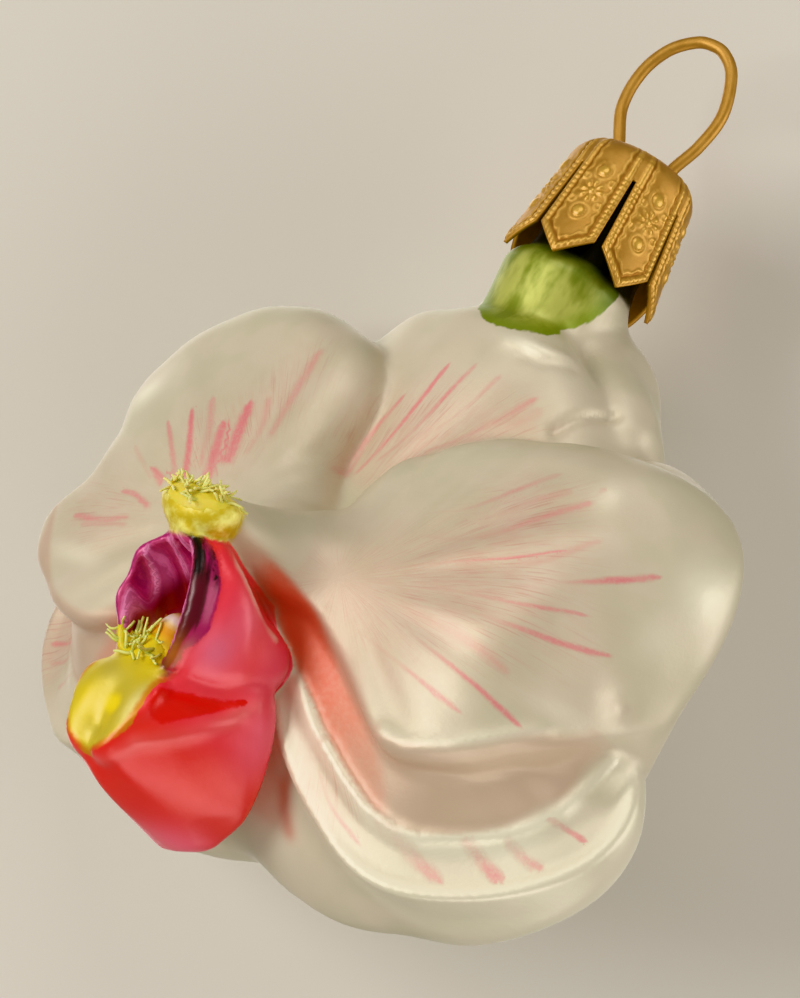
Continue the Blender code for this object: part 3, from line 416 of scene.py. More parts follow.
def outline_distance(x, z, points):
    """Signed distance in the front view to a closed outline."""
    curve = smooth(points, 6, closed=True)
    nearest = np.full(x.shape, FAR)
    inside = np.zeros(x.shape, bool)
    for a, b in zip(curve, np.roll(curve, -1, axis=0)):
        e = b - a
        wx, wz = x - a[0], z - a[1]
        t = np.clip((wx * e[0] + wz * e[1]) / (e @ e + 1e-12), 0, 1)
        nearest = np.minimum(nearest, (wx - t * e[0]) ** 2 + (wz - t * e[1]) ** 2)
        if a[1] != b[1]:
            crosses = (a[1] > z) != (b[1] > z)
            inside ^= crosses & (x < e[0] * (z - a[1]) / e[1] + a[0])
    d = np.sqrt(nearest)
    return np.where(inside, -d, d)


def sheet(x, z, heights, mirrored=False):
    """Smooth sheet y(x, z) through the given heights, a thin plate spline."""
    p = np.asarray(heights, float)
    if mirrored:
        p = np.vstack([p, p[p[:, 0] > 0.01] * np.array([-1, 1, 1])])

    def bend(r2):
        return 0.5 * r2 * np.log(r2 + 1e-9)

    n = len(p)
    m = np.zeros((n + 3, n + 3))
    m[:n, :n] = bend((p[:, None, 0] - p[None, :, 0]) ** 2 + (p[:, None, 1] - p[None, :, 1]) ** 2)
    m[:n, n:] = np.c_[np.ones(n), p[:, 0], p[:, 1]]
    m[n:, :n] = m[:n, n:].T
    w = np.linalg.solve(m, np.r_[p[:, 2], 0, 0, 0])
    out = w[n] + w[n + 1] * x + w[n + 2] * z
    for k in range(n):
        out = out + w[k] * bend((x - p[k, 0]) ** 2 + (z - p[k, 1]) ** 2)
    return out


def ease(t):
    t = np.clip(t, 0, 1)
    return t * t * (3 - 2 * t)


def join(a, b, k):
    """Union of two fields with a fillet of about k."""
    h = np.clip(0.5 + 0.5 * (b - a) / k, 0, 1)
    return b + (a - b) * h - k * h * (1 - h)


def carve(a, b, k):
    """Take the solid b out of the solid a, edge softened by k."""
    return -join(-a, b, k)


def meet(a, b, r):
    """Common part of two solids with the edge rounded to radius r."""
    u, v = np.maximum(a + r, 0), np.maximum(b + r, 0)
    return np.sqrt(u * u + v * v) - r + np.minimum(np.maximum(a + r, b + r), 0)


def ellipsoid(x, y, z, centre, radii):
    scaled = [(t - c) / r for t, c, r in zip((x, y, z), centre, radii)]
    k0 = np.sqrt(sum(t * t for t in scaled)) + 1e-9
    k1 = np.sqrt(sum((t / r) ** 2 for t, r in zip(scaled, radii))) + 1e-9
    return k0 * (k0 - 1) / k1


def cone(x, y, z, a, b, radius_a, radius_b):
    """Round ended cone from a to b."""
    e = np.subtract(b, a)
    w = [t - s for t, s in zip((x, y, z), a)]
    t = np.clip(sum(v * u for v, u in zip(w, e)) / (e @ e), 0, 1)
    d = np.sqrt(sum((v - t * u) ** 2 for v, u in zip(w, e)))
    return d - (radius_a + (radius_b - radius_a) * t)


# The blown body as fields


def front_view_fields(x, z):
    """Everything that depends on the front view only."""
    f = {
        "right_edge": outline_distance(x, z, PETAL_RIGHT),
        "left_edge": outline_distance(-x, z, PETAL_LEFT),
        "dorsal_edge": outline_distance(x, z, DORSAL),
        "sepal_edge": outline_distance(np.where(x > 0, x, -x * SEPAL_LEFT_SQUEEZE), z, SEPAL),
        "back_edge": outline_distance(x, z, BACK),
        "lip_edge": outline_distance(x + 0.9 * ease((-33 - z) / 4), z, LIP),
        "right": sheet(x, z, PETAL_RIGHT_HEIGHTS),
        "left": sheet(-x, z, PETAL_LEFT_HEIGHTS),
        "dorsal": sheet(x, z, DORSAL_HEIGHTS, True),
        "floor": sheet(x, z, FLOOR_HEIGHTS, True),
        "back": sheet(x, z, BACK_HEIGHTS, True),
        "lip": sheet(x, z, LIP_HEIGHTS, True),
        "outer": ease((outline_distance(np.abs(x), z, RECESS) - 1.6) / 2.2),
        # petal edges are crisp below and soft above
        "petal_round": 1.2 + 3.0 * ease((z + 15.0) / 10.0),
    }
    # the lower sepals are dished, with a raised rim
    rim = np.clip(1 + f["sepal_edge"] / SEPAL_LIP_WIDTH, 0, 1)
    base = np.where(x > 0, sheet(x, z, SEPAL_RIGHT_HEIGHTS), sheet(-x, z, SEPAL_LEFT_HEIGHTS))
    f["sepal"] = base + 0.6 - SEPAL_LIP * rim ** 2
    return f


def flower_solids(x, y, z, f):
    """The lobes, column, lip and neck, each as its own field."""
    s = {}
    back = (y - f["back"]) * 0.9
    s["base"] = meet(meet(f["back_edge"], back, 6.0), f["floor"] - y, 4.0)
    edges = {"right": f["petal_round"], "left": f["petal_round"], "dorsal": 3.0, "sepal": 1.0}
    for name, edge in edges.items():
        s[name] = meet(meet(f[name + "_edge"], f[name] - y, edge), back, 3.0)
    s["shoulder"] = ellipsoid(x, y, z, (0, 4.0, 16.5), (13.0, 7.0, 9.5))
    s["boss"] = cone(x, y, z, (1.0, -14, -11.5), (0, -24, -12.8), 4.2, 2.8)
    taper = 1 + 0.16 * np.clip(z + 13.3, -3, 3)
    column = ellipsoid((x + 0.4) / taper, y, z, (0, -26.7, -13.3), (4.2, 3.4, 2.5))
    s["column"] = meet(column, 0.73 * x + 0.68 * (y + 26.7) - 0.09 * (z + 13.3) - 2.9, 1.0)
    # the lip: two side lobes around a hollow throat, and the middle lobe below them
    across = np.where(x < 0, x * LEFT_LOBE_SQUEEZE, x)
    bowl = ellipsoid(across, y + 0.3 * (z + 20.9), z, (0, -20.6, -21.2), (7.3, 8.3, 8.1))
    bowl = bowl + 0.22 * np.sin(1.5 * z + 0.6) * ease(-x / 2.0)
    bowl = meet(bowl, 0.54 * np.abs(x) + 0.25 * y + 0.80 * z + 16.3, 0.6)
    s["side_lobes"] = join(bowl, ellipsoid(np.abs(x), y, z, (5.2, -17.6, -21.2), (2.6, 3.2, 2.9)), 1.5)
    s["throat"] = ellipsoid(x, y, z, (0, -28.0, -22.0), (3.8, 7.6, 6.2))
    rear = (y + 14.4 + 0.52 * (z + 24.7)) * 0.8
    toe = 0.25 * np.abs(x + 2.0) - 0.5 + 0.47 * (y + 6.15) - 0.85 * z - TOE_CUT
    s["middle_lobe"] = meet(meet(meet(f["lip_edge"], (f["lip"] - y) * 0.8, 1.4), rear, 0.8), toe, 0.8)
    s["root"] = ellipsoid(x, y, z, (0, -13, -24), (4.0, 6.0, 9.0))
    # the neck, with the raised sleeve on its front
    radius = NECK_RADIUS_TOP + (NECK_RADIUS_BASE - NECK_RADIUS_TOP) * ease((30.0 - z) / 5.0)
    mid, half = (NECK_TOP + NECK_BASE) / 2, (NECK_TOP - NECK_BASE) / 2
    s["neck"] = meet(np.sqrt(x * x + y * y) - radius, np.abs(z - mid) - half, 0.3)
    low = SLEEVE_BASE + SLEEVE_SLANT * x
    radius = SLEEVE_RADIUS + 0.09 * np.clip(z - 19.0, 0, 7)
    ends = np.abs(z - (SLEEVE_TOP + low) / 2) - (SLEEVE_TOP - low) / 2
    s["sleeve"] = meet(np.sqrt(x * x + (y + SLEEVE_FORWARD) ** 2) - radius, ends, 2.4)
    return s


def flower_field(x, y, z, f):
    """Outside of the whole blown body."""
    s = flower_solids(x, y, z, f)
    lobes = join(carve(s["side_lobes"], s["throat"], 0.8), s["middle_lobe"], 0.8)
    s["lip"] = join(lobes, s["root"], 1.0)
    fillets = {"right": 1.2, "left": 1.0, "shoulder": 2.0, "dorsal": 1.0, "sepal": 1.0 + 1.6 * f["outer"],
               "neck": 2.0, "sleeve": 0.6, "boss": 4.0, "lip": 0.8, "column": 0.8}
    v = s["base"]
    for name, fillet in fillets.items():
        v = join(v, s[name], fillet)
    return v


# Turning a field into a closed mesh


def grid_axes(low, high, cell):
    return [np.arange(a, b + cell, cell) for a, b in zip(low, high)]


def sample_flower(axes):
    """The flower's field on a grid, and the grid's x, y and z."""
    flat = front_view_fields(*np.meshgrid(axes[0], axes[2], indexing="ij"))
    f = {name: value[:, None, :] for name, value in flat.items()}
    x, y, z = np.ix_(*axes)
    v = flower_field(x, y, z, f)
    return np.array(np.broadcast_to(v, [len(a) for a in axes])), x, y, z


def block(shape, steps):
    """All of a grid but its last layer along each axis, moved by the step, or all where that is None."""
    return tuple(slice(None) if t is None else slice(t, n - 1 + t) for t, n in zip(steps, shape))


def without_pinches(v, fill):
    """Fill or open the few samples where two parts of the solid would meet along an edge only."""
    v = np.array(v)
    corner = {steps: block(v.shape, steps) for steps in CORNERS}
    while True:
        inside = v < 0
        change = np.zeros(v.shape, bool)
        for a, b in ((0, 1), (0, 2), (1, 2)):
            views = []
            for step in ((0, 0), (0, 1), (1, 1), (1, 0)):
                steps = [None] * 3
                steps[a], steps[b] = step
                views.append(block(v.shape, steps))
            one, two, three, four = (inside[where] for where in views)
            crossed = (one != two) & (one == three) & (two == four)
            for where in views:
                change[where] |= crossed & (inside[where] != fill)
        count = sum(inside[where].astype(int) for where in corner.values())
        for steps in ((0, 0, 0), (0, 0, 1), (0, 1, 0), (1, 0, 0)):
            one, other = inside[corner[steps]], inside[corner[tuple(1 - t for t in steps)]]
            alone = (one == other) & (count == np.where(one, 2, 6))
            for where in corner.values():
                change[where] |= alone & (inside[where] != fill)
        if not change.any():
            return v
        v[change] = -0.02 if fill else 0.02


def surface_of(v, axes, fill=True):
    """Quads around the zero level of a sampled field, one corner per crossed cell."""
    v = without_pinches(v, fill)
    inside = v < 0
    count = sum(inside[block(v.shape, steps)].astype(int) for steps in CORNERS)
    cells = np.argwhere((count > 0) & (count < 8))
    index = np.full(count.shape, -1)
    index[tuple(cells.T)] = np.arange(len(cells))
    total = np.zeros(cells.shape)
    hits = np.zeros(len(cells))
    for axis in range(3):
        others = [a for a in range(3) if a != axis]
        for step in product((0, 1), repeat=2):
            start = cells.copy()
            start[:, others] += step
            end = start.copy()
            end[:, axis] += 1
            va, vb = v[tuple(start.T)], v[tuple(end.T)]
            crossed = (va < 0) != (vb < 0)
            spot = start.astype(float)
            spot[:, axis] += np.where(crossed, va / np.where(crossed, va - vb, 1), 0)
            total[crossed] += spot[crossed]
            hits += crossed
    quads = []
    for axis in range(3):
        around = [(axis + 1) % 3, (axis + 2) % 3]
        lower = np.take(inside, np.arange(v.shape[axis] - 1), axis=axis)
        upper = np.take(inside, np.arange(1, v.shape[axis]), axis=axis)
        for edges, order in ((lower & ~upper, 1), (upper & ~lower, -1)):
            ring = []
            for step in ((-1, -1), (0, -1), (0, 0), (-1, 0)):
                cell = np.argwhere(edges)
                cell[:, around] += step
                ring.append(index[tuple(cell.T)])
            quads.append(np.stack(ring, 1)[:, ::order])
    low = np.array([a[0] for a in axes])
    cell = np.array([a[1] - a[0] for a in axes])
    return low + total / hits[:, None] * cell, np.concatenate(quads)


def place(points):
    """Millimetres in the flower frame to metres with the origin in the loop."""
    return (np.asarray(points, float) - (0, 0, LOOP_INSIDE_TOP)) * MM


def in_flower(points):
    """Metres from the origin in the loop to millimetres in the flower frame."""
    return np.array(points) / MM + (0, 0, LOOP_INSIDE_TOP)


def linked(name, data):
    """A new object of the given data, in the scene."""
    thing = bpy.data.objects.new(name, data)
    bpy.context.scene.collection.objects.link(thing)
    return thing


def new_object(name, points, faces):
    mesh = bpy.data.meshes.new(name)
    mesh.from_pydata(place(points).tolist(), [], [[int(i) for i in f] for f in faces])
    mesh.update()
    return linked(name, mesh)


def keep_largest(bm):
    """Drop every loose shell but the largest."""
    left = set(bm.verts)
    shells = []
    while left:
        seed = left.pop()
        shell, front = {seed}, [seed]
        while front:
            vert = front.pop()
            for edge in vert.link_edges:
                other = edge.other_vert(vert)
                if other not in shell:
                    shell.add(other)
                    front.append(other)
        left -= shell
        shells.append(shell)
    shells.sort(key=len)
    for shell in shells[:-1]:
        bmesh.ops.delete(bm, geom=list(shell), context="VERTS")


def weld(bm):
    """Join corners that lie on each other, and drop the faces without area between them."""
    bmesh.ops.remove_doubles(bm, verts=bm.verts, dist=WELD * MM)


def mend(thing, change):
    """Make a change to an object's mesh."""
    bm = bmesh.new()
    bm.from_mesh(thing.data)
    change(bm)
    bm.to_mesh(thing.data)
    bm.free()


def add_values(thing, values):
    """Store named numbers on the corners of a mesh for its material."""
    for name, numbers in values.items():
        layer = thing.data.attributes.new(name, "FLOAT", "POINT")
        layer.data.foreach_set("value", np.asarray(numbers, np.float32))


# The glass flower


def settle(points, v, axes):
    """Move the corners onto the exact surface, and give the ways out of it there."""
    low = np.array([a[0] for a in axes])
    cell = np.array([a[1] - a[0] for a in axes])
    slope = np.gradient(v, cell[0])
    for _ in range(2):
        at = (points - low) / cell
        first = np.clip(at.astype(int), 0, np.array(v.shape) - 2)
        way = 0
        for corner in CORNERS:
            share = np.abs(1 - np.array(corner) - (at - first)).prod(1)
            where = tuple((first + corner).T)
            way = way + share[:, None] * np.stack([s[where] for s in slope], 1)
        size = np.maximum((way ** 2).sum(1), 0.15)
        x, y, z = points.T
        shift = flower_field(x, y, z, front_view_fields(x, z)) / size
        points = points - np.clip(shift, -MOST_SETTLING, MOST_SETTLING)[:, None] * way
    return points, way / np.sqrt(size)[:, None]


def line_distance(points, path):
    """Distance to a line of straight pieces, the share of its length reached there, and the side of
    the line in a flat view, 1 to its left and -1 to its right."""
    path = np.asarray(path, float)
    steps = np.linalg.norm(np.diff(path, axis=0), axis=1)
    reached = np.r_[0, np.cumsum(steps)] / steps.sum()
    nearest = np.full(len(points), FAR)
    share = np.zeros(len(points))
    side = np.ones(len(points))
    for i, (a, b) in enumerate(zip(path, path[1:])):
        e = b - a
        t = np.clip((points - a) @ e / (e @ e), 0, 1)
        d = np.linalg.norm(points - a - t[:, None] * e, axis=1)
        closer = d < nearest
        nearest = np.where(closer, d, nearest)
        share = np.where(closer, reached[i] + t * (reached[i + 1] - reached[i]), share)
        turn = np.sign(e[0] * (points[:, 1] - a[1]) - e[1] * (points[:, 0] - a[0]))
        side = np.where(closer, turn, side)
    return nearest, share, side


def soft(distance, width):
    """1 at no distance, falling to 0 over about the given width."""
    return np.exp(-(distance / width) ** 2)


def ridge(p, path, width):
    """1 on a line, falling to 0 around it."""
    return soft(line_distance(p, path)[0], width)


def cloud(p, centre, radii):
    """1 at a place, falling to 0 around it."""
    return np.exp(-(((p - centre) / radii) ** 2).sum(1))


def front(y):
    """1 on the front of the flower, 0 on its back."""
    return ease((FRONT_EDGE - y) / FRONT_FADE)


def margin(solid, names):
    """Field of the named solids less that of the rest: minus where the named ones make the surface."""
    mine = np.minimum.reduce([solid[n] for n in names])
    rest = np.minimum.reduce([solid[n] for n in SHOWN_SOLIDS if n not in names])
    return mine - rest


def own(solid, *names, width=0.5):
    """1 where one of the named solids makes the surface, 0 elsewhere, with a soft edge."""
    return ease(0.5 - margin(solid, names) / width)


def border(solid, *names):
    """Millimetres to the edge of the named solids' share of the surface, minus inside."""
    return np.clip(margin(solid, names) / 2, -3, 3)


def fold_phase(p):
    """Angle of the uneven folds inside the side lobes."""
    x, y, z = p.T
    return 3.6 * x + 1.4 * np.sin(0.75 * z + 0.4) + 0.9 * np.sin(1.7 * z + 1.3 * x + y)


def flap_reach(p, solid):
    """Millimetres beyond the outer edge of the dark rolled band around the throat."""
    z = p[:, 2]
    outer = 1.35 + 0.75 * ease((-14.5 - z) / 4.0) - 0.80 * ease((-21.5 - z) / 3.5)
    return solid["throat"] - outer


def relief(p, solid):
    """Height of the fine relief at points of the surface."""
    x, y, z = p.T
    mirrored = np.c_[np.abs(x), y, z]
    lip = own(solid, *LIP_SOLIDS)
    height = np.zeros(len(p))
    for path, rise, width in LIP_LINES:
        height += rise * lip * ridge(mirrored, path, width)
    for path, rise, width in NECK_LINES + RAISED_EDGES:
        height += rise * ridge(p, path, width)
    for spot, rise, radius in PETAL_BUMPS:
        height += rise * cloud(p, spot, radius)
    # faint ribs fan out over the petals
    for name, turn in (("right", 0.4), ("left", 1.1), ("dorsal", 2.0)):
        cx, cz = FANS[name]
        angle, radius = np.arctan2(z - cz, x - cx), np.hypot(x - cx, z - cz)
        wave = np.sin(13 * angle + turn) + 0.6 * np.sin(23 * angle + 2 * turn)
        height += RIB_HEIGHT * wave * ease((radius - 4) / 8) * own(solid, name) * front(y)
    # folds inside the side lobes, and the rolled edge around the throat
    right_half = ease((x + 0.8) / 1.6)
    lobes, throat = solid["side_lobes"], solid["throat"]
    inside = ease(-(lobes + 0.3) / 0.6) * ease((0.6 - np.abs(throat)) / 0.5)
    folds = fold_phase(p)
    height += FOLD_HEIGHT * inside * (np.sin(folds) + 0.35 * np.sin(1.5 * folds + 1.0))
    rolled = right_half * ease((1.2 - np.abs(lobes)) / 0.8) * ease((-20.0 - y) / 2.0)
    return height + rolled * (0.40 * soft(throat - 0.9, 0.8) - 0.30 * soft(flap_reach(p, solid) - 0.15, 0.4))


def brush_marks(p, solid):
    """Place across the nearest brush stroke, in half widths, for two sets of strokes that lie apart.

    The place is signed, so that a stroke may be thinner than the mesh's cells. The guard tells a true
    crossing of a stroke's middle from the change of sign half way between two strokes.
    """
    x, y, z = p.T
    flat = np.c_[x, z]
    sepal = own(solid, "sepal", width=0.8)
    shares = {"dorsal": own(solid, "dorsal", "left", width=0.8), "left": own(solid, "left", width=0.8),
              "right": own(solid, "right", width=0.8), "left_sepal": sepal * (x < 0),
              "right_sepal": sepal * (x > 0)}
    strokes = [(petal, *stroke) for petal, rows in STROKES.items() for stroke in rows]
    values = {}
    for group in (0, 1):
        near = np.full(len(p), NO_STROKE)
        across, guard = near.copy(), near.copy()
        strength = np.zeros(len(p))
        for petal, path, inner, outer, power in strokes[group::2]:
            d, t, side = line_distance(flat, smooth(path, 4))
            rounding = np.sqrt(np.clip(1 - ((t - 1 + TIP_SHARE) / TIP_SHARE) ** 2, 0.16, 1))
            tip = np.where(t > 1 - TIP_SHARE, rounding, 1)
            width = np.maximum((inner + (outer - inner) * t) * tip * STROKE_WIDTHS[petal], LEAST_STROKE)
            ratio = np.where(shares[petal] > 0.5, np.minimum(d / width, NO_STROKE), NO_STROKE)
            closer = ratio < near
            near = np.where(closer, ratio, near)
            across = np.where(closer, ratio * side, across)
            guard = np.where(closer, d / np.maximum(width, GUARD_WIDTH), guard)
            root = STROKE_ROOTS[petal]
            fade = ease(t / 0.05) * ease((1 - t) / 0.04) * (root + (1 - root) * ease((t - 0.1) / 0.7))
            strength = np.where(closer, power * fade, strength)
        values[f"stroke{group}"] = across
        values[f"guard{group}"] = guard
        values[f"strength{group}"] = strength * front(y)
    blush = sum(power * shares[petal] * soft(x - cx, rx) * soft(z - cz, rz)
                for petal, (cx, cz), (rx, rz), power in BLUSHES)
    values["blush"] = blush * front(y)
    return values


def paint_values(p):
    """Every mask that the lacquer's colours follow."""
    x, y, z = p.T
    mirrored = np.c_[np.abs(x), y, z]
    f = front_view_fields(x, z)
    solid = flower_solids(x, y, z, f)
    values = brush_marks(p, solid)
    # angle and distance from the centre that the nearest petal's strokes fan out from
    regions = {"left": x < 0, "right": x >= 0, "dorsal": (np.abs(x) < 17) & (z > -2)}
    for name, region in regions.items():
        cx, cz = FANS[name]
        angle, radius = np.arctan2(z - cz, x - cx), np.hypot(x - cx, z - cz)
        values["fan_angle"] = np.where(region, angle, values.get("fan_angle", 0))
        values["fan_radius"] = np.where(region, radius, values.get("fan_radius", FAR))
    # the coral run between the petals and the sepals, whose darker pinkish brown is partly pink paint and
    # partly painted shade in the recess
    valley = ease((0.6 - outline_distance(np.abs(x), z, RECESS)) / 0.9) * ease((2.5 - y) / 3.0)
    valley = valley * (1 - own(solid, "sepal", "side_lobes", "middle_lobe", "column"))
    reach = np.hypot(np.abs(x) - 2.0, z + 14.0)
    run = outline_distance(np.abs(x), z, CORAL)
    values["valley"] = valley
    values["coral"] = valley * ease((0.9 - run) / 1.6) * (1.0 - 0.6 * ease((reach - 10.0) / 10.0))
    values["hot"] = valley * ease((0.5 - run) / 1.6) * ease((13.0 - reach) / 8.0)
    values["hollow"] = 0.8 * ridge(p, HOLLOW, 0.9) * own(solid, "base", "sepal")
    # pale line along the lip's raised seam: painted highlight
    values["seam_highlight"] = line_distance(p, SEAM)[0]
    # painted highlights on the pearl: bright edges and rims, a lighter sepal, and gleams
    sepal = own(solid, "sepal", width=1.5) * (x > 0)
    painted_light = 0.8 * ridge(p, PETAL_EDGE, 0.7) + 0.7 * ridge(p, SEPAL_RIM, 0.7)
    painted_light += sepal * (0.35 + 0.55 * soft(f["sepal_edge"] + 0.8, 0.6))
    values["painted_light"] = painted_light + sum(power * cloud(p, spot, size) for spot, size, power in PAINTED_HIGHLIGHTS)
    # the lip's flanks, throat and folded lobes
    wedge, along, _ = line_distance(mirrored, RED_WEDGE)
    values["red"] = wedge / (1.5 - 1.1 * along)
    values["lip"] = border(solid, *LIP_SOLIDS)
    values["lower"] = ease((-28.0 - z) / 4.0)
    # the paler line along the ridge of the middle lobe is a painted highlight
    values["ridge"] = ridge(mirrored, LIP_LINES[1][0], 0.7)
    values["throat"] = solid["throat"]
    values["flap"] = flap_reach(p, solid)
    values["flap_height"] = (z + 18.6) / 3.0
    # the folds' wave, which the paint follows with lighter crests and darker creases: painted light and shade
    values["fold"] = np.sin(fold_phase(p))
    values["deep"] = ease((y + 25.0 - 0.25 * (z + 20)) / 2.0)
    values["left_half"] = ease(-x / 1.0)
    # the yellow boss and its borders
    arc = z + 0.12 * x * x
    values["callus"] = outline_distance(np.where(x < 0, 0.84 * x, x), z, CALLUS)
    on_boss = ease((0.7 - solid["middle_lobe"]) / 0.4) * ease((-17.5 - y) / 1.5)
    values["on_boss"] = on_boss * (1 - cloud(p, (3.9, -23.9, -26.7), (1.0, 1.0, 1.2)))
    values["orange"] = soft(arc + 23.2, 0.8) * ease((3.4 - np.abs(x)) / 1.0)
    values["ledge"] = soft(arc + 21.9, 0.55) * ease((3.0 - np.abs(x)) / 1.0) * ease((-21.5 - y) / 1.5)
    for name, both, spot, size, power in PATCHES:
        values[name] = values.get(name, 0) + power * cloud(mirrored if both else p, spot, size)
    # the column, the green sleeve, and painted shade under the cap's tabs: the sleeve darker towards them and
    # a near-black ring above it
    values["column"] = border(solid, "column")
    sleeve_end = -join(z - 17.7 - 0.09 * (x - 2.1) ** 2, z - 18.3 - 0.86 * (y + 6.9), 2.0)
    sleeve_sides = np.maximum(0.4 * (21.8 + 2.4 * (y + 3.0) - z), y + 0.9)
    values["sleeve"] = np.maximum(sleeve_end, sleeve_sides)
    values["sleeve_painted_shade"] = ease((z - 24.6 + 0.35 * (y + 6.0)) / 3.2)
    painted_shade_under_tabs = ease((z - 27.5 + 0.8 * ease((x - 4.0) / 2.0)) / 0.7)
    values["painted_shade_under_tabs"] = painted_shade_under_tabs * own(solid, "neck", "sleeve")
    return values


def make_glass():
    axes = grid_axes(GLASS_LOW, GLASS_HIGH, FINE_CELL)
    v = sample_flower(axes)[0]
    points, quads = surface_of(v, axes)
    points, way = settle(points, v, axes)
    x, y, z = points.T
    raised = relief(points, flower_solids(x, y, z, front_view_fields(x, z)))
    flower = new_object("orchid_glass", points + raised[:, None] * way, quads)
    mend(flower, keep_largest)
    add_values(flower, paint_values(in_flower([v.co for v in flower.data.vertices])))
    return flower


# Cap, wire and fibres


def bead(along, across, pitch, radius):
    """Height of a row of round beads, 0 to 1."""
    return dome(math.hypot((along / pitch % 1 - 0.5) * pitch, across), radius)


def dome(distance, radius):
    return math.sqrt(max(0.0, 1 - (distance / radius) ** 2))


def stamped(across, z, half_width, end):
    """Height of the stamped pattern at a place of a tab, in millimetres."""
    from_side = half_width - abs(across)
    from_end = (z - end) * END_SLOPE
    edge = min(from_side, from_end)
    along = z if from_side < from_end else across * 1.25
    height = 0.17 * bead(along, edge - 0.45, 0.56, 0.30) - 0.06 * soft(edge - 0.95, 0.14)
    height += 0.10 * soft(edge - 1.22 - 0.13 * math.sin(2 * math.pi * along / 1.25), 0.13)
    for centre in STAMP_DOMES:
        r = math.hypot(across, z - centre)
        height += 0.26 * dome(r, 0.62) + 0.08 * soft(r - 0.92, 0.12)
    r = math.hypot(across, z - STAMP_ROSETTE)
    if r < 1.45:
        petals = 0.5 + 0.5 * math.cos(8 * math.atan2(across, z - STAMP_ROSETTE))
        height += 0.20 * petals * soft(r - 0.85, 0.36) + 0.18 * dome(r, 0.34)
    for centre in (STAMP_ROSETTE + 1.35, STAMP_ROSETTE - 1.35):
        height += 0.09 * soft(math.hypot(abs(across) - 1.35, z - centre) - 0.34, 0.12)
    return height


def make_cap():
    """Stamped cap: domed top, and pointed tabs with a beaded edge that stand away from the neck."""
    columns = TAB_COLUMNS + 1
    centres = [math.radians(CAP_FIRST_TAB + 360.0 / CAP_TABS * k) for k in range(CAP_TABS)]
    half = math.pi / CAP_TABS
    across = [2 * j / TAB_COLUMNS - 1 for j in range(columns)]
    profile = smooth(CAP_PROFILE[1:], 6)
    top_radius, top = CAP_PROFILE[-1]
    points, faces, heights = [], [], []

    def add(r, z, angle, way=(1, 0), height=0.0):
        """A corner at radius r and height z, raised along the way out of the sheet."""
        r, z = r + height * way[0], z + height * way[1]
        points.append((r * math.cos(angle), r * math.sin(angle), z))
        heights.append(height)
        return len(points) - 1

    def skin(inset):
        """Middle of the top, rings of the dome, and rows of each tab, for the outside or the inside."""
        rings = []
        for n, (r, z) in enumerate(profile):
            dr, dz = profile[min(n + 1, len(profile) - 1)] - profile[max(n - 1, 0)]
            way = (-dz / math.hypot(dr, dz), dr / math.hypot(dr, dz))
            reach = half - TAB_GAP_TOP / r * ease((r - 2.0) / 4.0)
            ring = []
            for c, u in product(centres, across):
                height = 0.0
                if not inset:
                    width = reach * top_radius
                    height = stamped(u * width, z, width, TAB_TIP) * ease((z - 41.2) / -2.4)
                    height += 0.05 * math.sin(3.2 * r) * ease((4.6 - r) / 1.0)
                ring.append(add(r - inset * way[0], z - inset * way[1], c + reach * u, way, height))
            rings.append(ring)
        tabs = []
        for t, c in enumerate(centres):
            rows = [rings[-1][t * columns:(t + 1) * columns]]
            for n in range(1, TAB_ROWS + 1):
                row = []
                for u in across:
                    end = TAB_TIP + (TAB_CORNER - TAB_TIP) * abs(u)
                    z = top + (end - top) * n / TAB_ROWS
                    s = (top - z) / (top - TAB_TIP)
                    r = top_radius + (TAB_TIP_RADIUS - top_radius) * s
                    reach = half - (TAB_GAP_TOP + (TAB_GAP_BOTTOM - TAB_GAP_TOP) * s) / r
                    height = 0.0 if inset else stamped(u * reach * r, z, reach * r, end)
                    row.append(add(r - inset, z, c + reach * u, height=height))
                rows.append(row)
            tabs.append(rows)
        return add(0.0, CAP_PROFILE[0][1] - inset, 0.0), rings, tabs

    def strip(upper, lower, order=1):
        """Quads between two rows of corners, turned over where the order is -1."""
        faces.extend(quad[::order] for quad in zip(upper, lower, lower[1:], upper[1:]))

    outside, inside = skin(0.0), skin(CAP_THICKNESS)
    for (hub, rings, tabs), order in ((outside, 1), (inside, -1)):
        faces.extend((hub, a, b)[::order] for a, b in zip(rings[0], rings[0][1:] + rings[0][:1]))
        for upper, lower in zip(rings, rings[1:]):
            strip(upper + upper[:1], lower + lower[:1], order)
        for rows in tabs:
            for upper, lower in zip(rows, rows[1:]):
                strip(upper, lower, order)
    # the sheet's edges: both sides and the end of each tab, and the top of the slot beside it
    for t in range(CAP_TABS):
        outer, inner = outside[2][t], inside[2][t]
        following = (t + 1) % CAP_TABS
        strip([row[0] for row in outer], [row[0] for row in inner])
        strip([row[-1] for row in outer], [row[-1] for row in inner], -1)
        strip(outer[-1], inner[-1])
        strip((outer[0][-1], outside[2][following][0][0]), (inner[0][-1], inside[2][following][0][0]))
    cap = new_object("stamped_cap", points, faces)
    add_values(cap, {"stamp": heights})
    mend(cap, weld)
    return cap


